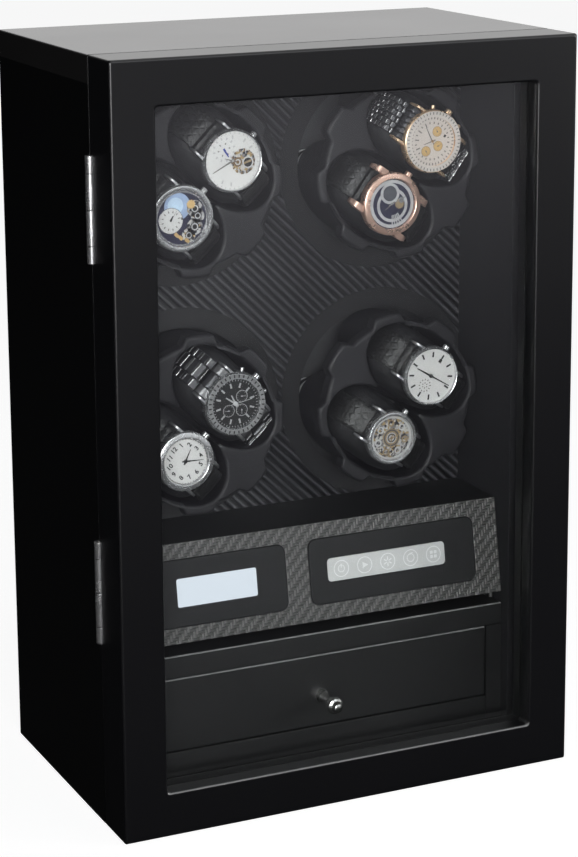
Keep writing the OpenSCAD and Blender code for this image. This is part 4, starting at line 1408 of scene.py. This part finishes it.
def three_eyes_dial(head, r):
    head.dial(DIAL_CREAM)
    ring_y = FACE_Y + 0.22
    head.ring(r * 0.99, head.radius - 1.0, ring_y, FACE_Y + 0.5, DIAL_CREAM)
    head.track(head.radius - 1.5, 1.7, 0.7, INK_GREY, 48, y=ring_y)
    head.track(r - 0.4, 1.5, 0.7, INK_GREY, 42)
    head.track(r * 0.78, 1.4, 0.8, INK_GREY, 24)
    for hour, reach in ((2.8, 0.44), (6.05, 0.34), (8.95, 0.48)):
        head.sub_dial(clock(hour, r * reach), r * 0.21, AMBER, INK_GREY, hour - 2.0, rim=GILT)
    head.marks((0, 1, 11, 10), r * 0.6, r * 0.74, 0.8, INK_GREY)
    head.bar((-0.9, 0.0), (0.9, 0.0), 1.6, DIAL_Y - 0.1, DIAL_Y, INK, at=clock(4.2, r * 0.6))
    head.hand(0.9, r * 0.62, 0.8, 0.6, INK_GREY)
    head.hand(10.2, r * 0.4, 0.9, 0.45, INK_GREY)
    head.hub(0.85, GOLD)


def crescent_dial(head, r):
    head.dial(DIAL_NAVY)
    head.band(r * 0.84, r * 0.97, 0.24, STEEL_PALE)
    head.band(r * 0.56, r * 0.68, 0.14, STEEL_PALE, clock(7.2, r * 0.06))
    moon_at = clock(1.4, r * 0.43)
    head.band(r * 0.31, r * 0.42, 0.2, STEEL_PALE, moon_at)
    head.plate(circle(r * 0.3, 40), DIAL_Y - 0.26, DIAL_Y, DIAL_GREY, edge=0.1, at=moon_at, steps=1)
    head.wheel(r * 0.2, 16, 0.3, 0.24, GILT, clock(4.9, r * 0.34))
    head.wheel(r * 0.13, 12, 0.3, 0.3, STEEL, clock(4.2, r * 0.44))
    for k in range(5):
        hour = 6.7 + 0.26 * k
        head.bar(clock(hour, r * 0.46), clock(hour, r * 0.92), 0.75, DIAL_Y - 0.34, DIAL_Y - 0.1, STEEL_PALE)
    head.hand(4.0, r * 0.78, 0.7, 0.6, STEEL)
    head.hand(9.6, r * 0.4, 0.8, 0.75, INK_GREY)
    head.hub(0.85, STEEL)


def chronograph_dial(head, r):
    head.dial(DIAL_BLACK)
    ring_y = FACE_Y + 0.18
    head.ring(r + 0.7, head.radius - 1.3, ring_y, FACE_Y + 0.5, BEZEL_SCALE)
    head.track(head.radius - 1.6, 2.0, 0.9, INK, 36, y=ring_y)
    head.track(r - 0.3, 1.0, 0.35, INK_PALE, 48)
    head.marks(range(12), r * 0.66, r * 0.86, 1.3, INK_PALE, tip=1.1)
    for hour in (3.0, 6.0, 9.0):
        head.sub_dial(clock(hour, r * 0.4), r * 0.25, DIAL_BLACK, INK_PALE, hour + 1.5)
    head.hand(11.6, r * 0.5, 1.5, 0.5, INK_PALE, tip=0.8)
    head.hand(0.6, r * 0.4, 1.3, 0.65, INK_PALE, tip=0.8)
    head.hand(4.1, r * 0.74, 0.45, 0.8, INK_PALE, tail=3.0, tip=0.3)
    head.hub(0.85, STEEL_PALE, 1.5)


def numeral_dial(head, r):
    head.dial(DIAL_WHITE)
    head.track(r - 0.3, 0.9, 0.4, INK_GREY, 48)
    head.numerals(r * 0.72, 4.6, INK)
    head.band(r * 0.96, r * 0.99, 0.4, STEEL)
    head.hand(2.3, r * 0.55, 1.3, 0.5, INK)
    head.hand(4.5, r * 0.8, 1.1, 0.65, INK)
    head.hub(0.85, INK, 1.3)


def stick_dial(head, r):
    head.dial(DIAL_WHITE)
    head.marks(range(12), r * 0.7, r * 0.9, 1.25, INK)
    head.marks((3.0,), r * 0.58, r * 0.72, 2.2, INK)
    at = clock(9.0, r * 0.42)
    head.track(r * 0.25, 1.1, 0.7, INK_GREY, 12, at)
    head.track(r * 0.12, 1.0, 0.7, INK_GREY, 6, at)
    head.hand(11.8, r * 0.66, 1.3, 0.5, INK, tip=0.8)
    head.hand(5.8, r * 0.86, 1.2, 0.65, INK, tip=0.6)
    head.hub(0.7, INK, 1.4)


def skeleton_dial(head, r):
    head.dial(MOVEMENT)
    head.band(r * 0.9, r * 0.99, 0.4, STEEL_PALE)
    for share, teeth, material, high in ((0.44, 28, GILT, 0.12), (0.26, 18, STEEL_PALE, 0.2)):
        head.wheel(r * share, teeth, 0.5, high, material, thick=0.1)
        head.band(r * (share - 0.12), r * (share - 0.06), high + 0.06, DIAL_GREY)
    for k in range(7):
        at = clock(12.0 * k / 7, r * 0.68)
        head.band(r * 0.1, r * 0.16, 0.3, GILT if k % 2 else STEEL_PALE, at, 24)
    head.track(r * 0.88, 1.1, 0.4, INK_GREY, 36, y=DIAL_Y - 0.1)
    head.hand(4.2, r * 0.5, 0.9, 0.65, GILT)
    head.hand(8.2, r * 0.72, 0.7, 0.8, GILT)
    head.hub(0.85, GILT)


build_watch("upper_left", "high", 21.2, STEEL, "thin", leather_strap, open_heart_dial, crown=2.2)
build_watch("upper_left", "low", 22.3, STEEL, "double", leather_strap, sky_dial, crown=2.2)
build_watch("upper_right", "high", 21.6, GOLD, "wide", brick_links, three_eyes_dial, pushers=(-32.0, 32.0))
build_watch("upper_right", "low", 21.6, ROSE, "wide", leather_strap, crescent_dial, stout=2.2)
build_watch("lower_left", "high", 21.8, STEEL, "scale", three_links, chronograph_dial, pushers=(-30.0, 30.0))
build_watch("lower_left", "low", 20.4, STEEL, "wide", leather_strap, numeral_dial)
build_watch("lower_right", "high", 20.8, STEEL, "thin", leather_strap, stick_dial)
build_watch("lower_right", "low", 18.8, STEEL, "double", leather_strap, skeleton_dial, crown=2.2)


# ---------------------------------------------------------------- console
CONSOLE_ANGLE = atan(CONSOLE_LEAN / (CONSOLE_TOP_Z - CONSOLE_Z))
SLOPE_LEN = hypot(CONSOLE_LEAN, CONSOLE_TOP_Z - CONSOLE_Z)
CONSOLE_FRAME = Matrix.Translation((0.0, HOUSING_Y, CONSOLE_Z)) @ Matrix.Rotation(-CONSOLE_ANGLE, 4, "X")
BEZEL_FRONT = -0.8
BEZEL_BACK = 3.2
BEZEL_H = 45.7
MID = SLOPE_LEN / 2
DISPLAY_BEZEL_X = -72.458
DISPLAY_BEZEL_W = 98.084
DISPLAY_X = -74.458
DISPLAY_WINDOW = (58.484, 19.5, 1.5)
KEY_BEZEL_X = 57.542
KEY_BEZEL_W = 127.916
KEY_X = 52.542
KEY_W = 90.916
KEY_WINDOW = (KEY_W, 16.5, 3.0)


def on_console(shape, name, node):
    shape.moved(CONSOLE_FRAME).object(name, "cabinet", node)


def bezel(node, x, wide, hole_x, hole):
    """A flat surround with a rounded front edge and a window of (width, height, corner)."""
    outer = rounded(wide, BEZEL_H, 6.0, 8)
    inner = rounded(*hole, 8)
    rings = [at_depth(outer(inset), y, (x, MID)) for inset, y in front_arc(1.2, BEZEL_FRONT, 4)]
    rings.append(at_depth(outer(), BEZEL_BACK, (x, MID)))
    rings.append(at_depth(inner(), BEZEL_BACK, (hole_x, MID)))
    window_edge = reversed(front_arc(0.4, BEZEL_FRONT, 2))
    rings += [at_depth(inner(-inset), y, (hole_x, MID)) for inset, y in window_edge]
    shape = Shape()
    shape.loft(rings, BEZEL, loop=True)
    on_console(shape, node + "_moulded", node)


def window_filler(x, window, front, material, edge, steps, n):
    """What fills a window: a face just smaller than it, on a larger board behind the bezel."""
    w, h, r = window
    at = (x, MID)
    shape = Shape()
    face = rounded(w - 0.3, h - 0.3, r - 0.1, n)
    shape.plate(face, front, BEZEL_BACK, material, edge=edge, at=at, steps=steps)
    shape.plate(rounded(w + 8, h + 8, r), BEZEL_BACK + 0.02, BEZEL_BACK + 5, BOARD, at=at)
    return shape


def build_display():
    shape = window_filler(DISPLAY_X, DISPLAY_WINDOW, 0.2, DISPLAY, 0.2, 1, 6)
    on_console(shape, "display_module_screen", "display_module")


def build_keys():
    """A film with five plain icons: a power sign, an arrow, a sun, a turn and a grid."""
    front = BEZEL_FRONT + 0.2
    shape = window_filler(KEY_X, KEY_WINDOW, front, KEYS, 0.5, 3, 8)
    y0, y1 = front - 0.06, front + 0.05
    spots = [(KEY_X - KEY_W / 2 + KEY_W * (0.115 + 0.196 * k), MID) for k in range(5)]

    def stroke(spot, start, end, wide, y=y0, wide_end=None):
        shape.bar(start, end, wide, y, y1, KEY_ICON, wide_end, spot)

    def hoop(spot, inner, outer, n=32):
        shape.ring(inner, outer, y0, y1, KEY_ICON, spot, n)

    for spot in spots:
        hoop(spot, 5.2, 5.8, 48)
    power, arrow, sun, turn, grid = spots
    hoop(power, 2.1, 2.6)
    stroke(power, (0.0, 0.6), (0.0, 3.4), 0.6)
    stroke(arrow, (-1.6, 0.0), (2.4, 0.0), 4.4, wide_end=0.3)
    for h in range(6):
        stroke(sun, clock(2.0 * h, 0.9), clock(2.0 * h, 3.4), 0.7, y1 - 0.14)
    hoop(turn, 2.4, 3.0)
    stroke(turn, (-0.6, 2.7), (2.4, 3.6), 1.4, wide_end=0.2)
    for u in (-1.5, 1.5):
        for v in (-1.5, 1.5):
            shape.plate(rounded(2.2, 2.2, 0.4, 2), y0, y1, KEY_ICON, at=shifted(grid, (u, v)))
    on_console(shape, "key_strip_film", "key_strip")


bezel("display_bezel", DISPLAY_BEZEL_X, DISPLAY_BEZEL_W, DISPLAY_X, DISPLAY_WINDOW)
bezel("key_bezel", KEY_BEZEL_X, KEY_BEZEL_W, KEY_X, KEY_WINDOW)
build_display()
build_keys()

# The console panel is woven on its slope and plain board elsewhere
SLOPE_OUT = Vector((0.0, -cos(CONSOLE_ANGLE), sin(CONSOLE_ANGLE)))
panel = rounded_copy("console_panel", CARBON, 0.4, name="console_panel_woven")
paint(panel, BOARD, lambda face: face.normal.dot(SLOPE_OUT) <= 0.9)

# ---------------------------------------------------------------- drawer and housing
DRAWER_EDGE_X = 90.0


def on_drawer_outline(edge):
    """True for the long outer edges, well away from the knob's hole."""
    return all(abs(v.co.x) > DRAWER_EDGE_X * MM for v in edge.verts)


# The drawer's and shelf's upper front edges get a painted highlight.
rounded_copy("drawer_front", BOARD, 0.9, on_drawer_outline, edge_highlight=BOARD_EDGE_HIGHLIGHT)
rounded_copy("drawer_shelf", BOARD, 0.9, edge_highlight=BOARD_EDGE_HIGHLIGHT)
rounded_copy("plinth_rail", BOARD, 0.5)
rounded_copy("drawer_tray", BOARD, 0.5)
rounded_copy("power_inlet", BEZEL, 0.3)
rounded_copy("gear_motors", MOTOR_CAN, 0.6)

# CAD nodes that are shown as they are, with a finish
FINISHES = {
    BOARD: ["rear_panel", "drawer_cheeks", "glass_beads"],
    FELT: ["side_liners", "drawer_lining"],
    DECK: ["drive_deck"],
    BRONZE: ["spindle_bearings"],
    RUBBER: ["drive_belts"],
    RUNNER_WOOD: ["drawer_runners"],
    CIRCUIT: ["control_board"],
    ZINC: ["magnet_strikes", "door_magnets", "knob_screw"],
    GLASS: ["door_glass"],
    SPINDLE: ["spindle_" + place for place in TURNTABLES],
    PULLEY: ["motor_pulley_" + place for place in TURNTABLES],
}
for finish, names in FINISHES.items():
    for node in names:
        materials = nodes[node].data.materials
        materials.clear()
        materials.append(finish)


# ---------------------------------------------------------------- stage, light and camera
SWEEP_NEAR_Y = -0.7
SWEEP_FAR_Y = -3.0
SWEEP_GLOW = 0.32
MIDDLE = (0.0, 0.0, 0.27)
WHITE = (1.0, 1.0, 1.0)


def stage_floor():
    """A pale floor: white ground to the camera, and to shine dark near the box and brighter far in front."""
    bpy.ops.mesh.primitive_plane_add(size=40.0, location=(0.0, 0.0, -0.0004))
    floor = bpy.context.object
    floor.name = "studio_floor"
    material = bpy.data.materials.new("studio_floor")
    graph = Graph(material, empty=True)

    def matt(shade):
        return graph.add("BsdfDiffuse", "BSDF", {"Color": shade})

    def lit(shader, shade, strength):
        glow = graph.add("Emission", "Emission", {"Color": shade, "Strength": strength})
        return graph.add("AddShader", "Shader", {0: shader, 1: glow})

    far = graph.soft(graph.axis("Y"), SWEEP_NEAR_Y, SWEEP_FAR_Y, SWEEP_GLOW)
    dark = matt(grey(0.03))
    shiny = graph.either(graph.ray("Glossy"), dark, lit(dark, colour(0.97, 0.95, 1.0), far))
    ground = lit(matt(grey(0.25)), grey(0.9), 1.0)
    graph.add("OutputMaterial", None, {"Surface": graph.either(graph.ray("Camera"), shiny, ground)})
    floor.data.materials.append(material)


def studio_world():
    """White to the eye and in reflections, but for the dark left side of the studio; dim as a light."""
    scene.world = bpy.data.worlds.new("studio")
    graph = Graph(scene.world, empty=True)

    def background(shade, strength=1.0):
        return graph.add("Background", "Background", {"Color": shade, "Strength": strength})

    right = graph.soft(graph.axis("X", "Generated"), -0.25, 0.3)
    high = graph.soft(graph.axis("Z", "Generated"), 0.0, 0.12)
    white = background(grey(0.98))
    dim = background(colour(0.9, 0.95, 1.0), 0.12)
    mirrored = graph.either(graph.calc("MULTIPLY", right, high), background(grey(0.02)), white)
    surface = graph.either(graph.ray("Glossy"), dim, mirrored)
    surface = graph.either(graph.ray("Transmission"), surface, white)
    graph.add("OutputWorld", None, {"Surface": graph.either(graph.ray("Camera"), surface, white)})


def softbox(name, place, target, size, power, tint=WHITE, size_y=None, spread=None):
    """A square lamp, or one of size by size_y, that points at a target and that the camera doesn't see."""
    data = bpy.data.lights.new(name, "AREA")
    data.energy = power
    data.color = tint
    data.size = size
    if size_y:
        data.shape = "RECTANGLE"
        data.size_y = size_y
    if spread:
        data.spread = radians(spread)
    lamp = linked(name, data)
    lamp.location = place
    lamp.rotation_mode = "QUATERNION"
    lamp.rotation_quaternion = (Vector(target) - Vector(place)).to_track_quat("-Z", "Y")
    lamp.visible_camera = False


def photo_camera():
    """The photo's camera: from the left and a little above, with a long lens."""
    azimuth = radians(-24.876)
    elevation = radians(11.973)
    roll = radians(-0.395)
    centre = (-0.6858, -1.4849, 0.6771)
    focal_px = 2446.3
    long_side_px = 857.0
    drop = 0.16
    level = cos(elevation)
    forward = Vector((-sin(azimuth) * level, cos(azimuth) * level, -sin(elevation)))
    right = forward.cross(Vector((0.0, 0.0, 1.0))).normalized()
    up = right.cross(forward)
    turned_right = right * cos(roll) + up * sin(roll)
    turned_up = up * cos(roll) - right * sin(roll)
    data = bpy.data.cameras.new("camera")
    data.sensor_width = 36.0
    data.sensor_fit = "AUTO"
    data.lens = focal_px * data.sensor_width / long_side_px
    data.shift_y = -drop
    data.clip_start = 0.05
    data.clip_end = 100.0
    matrix = Matrix((turned_right, turned_up, -forward)).transposed().to_4x4()
    matrix.translation = Vector(centre)
    scene.camera = linked("camera", data)
    scene.camera.matrix_world = matrix


stage_floor()
studio_world()
softbox("key_light", (-0.75, -2.1, 0.7), MIDDLE, 1.0, 27.5)
softbox("beam_light", (-0.9, -2.0, 0.55), (0.05, 0.0, 0.47), 0.9, 1.2, spread=30.0)
softbox("rib_light", (1.75, -1.35, 0.72), (-0.05, 0.0, 0.34), 0.5, 12.0)
softbox("top_panel_light", (1.3, 2.4, 0.9), (0.0, 0.0, BOX_H * MM), 1.8, 1.0, (1.0, 0.98, 0.97), 1.0)
softbox("high_fill", (0.9, -1.8, 1.6), MIDDLE, 1.2, 6.0, (0.9, 0.93, 1.0))
softbox("edge_strip", (-1.3, -0.75, 0.5), (-0.165, -0.105, 0.3), 0.14, 0.65, WHITE, 1.2)
photo_camera()
scene.view_settings.view_transform = "Standard"

bpy.context.view_layer.update()
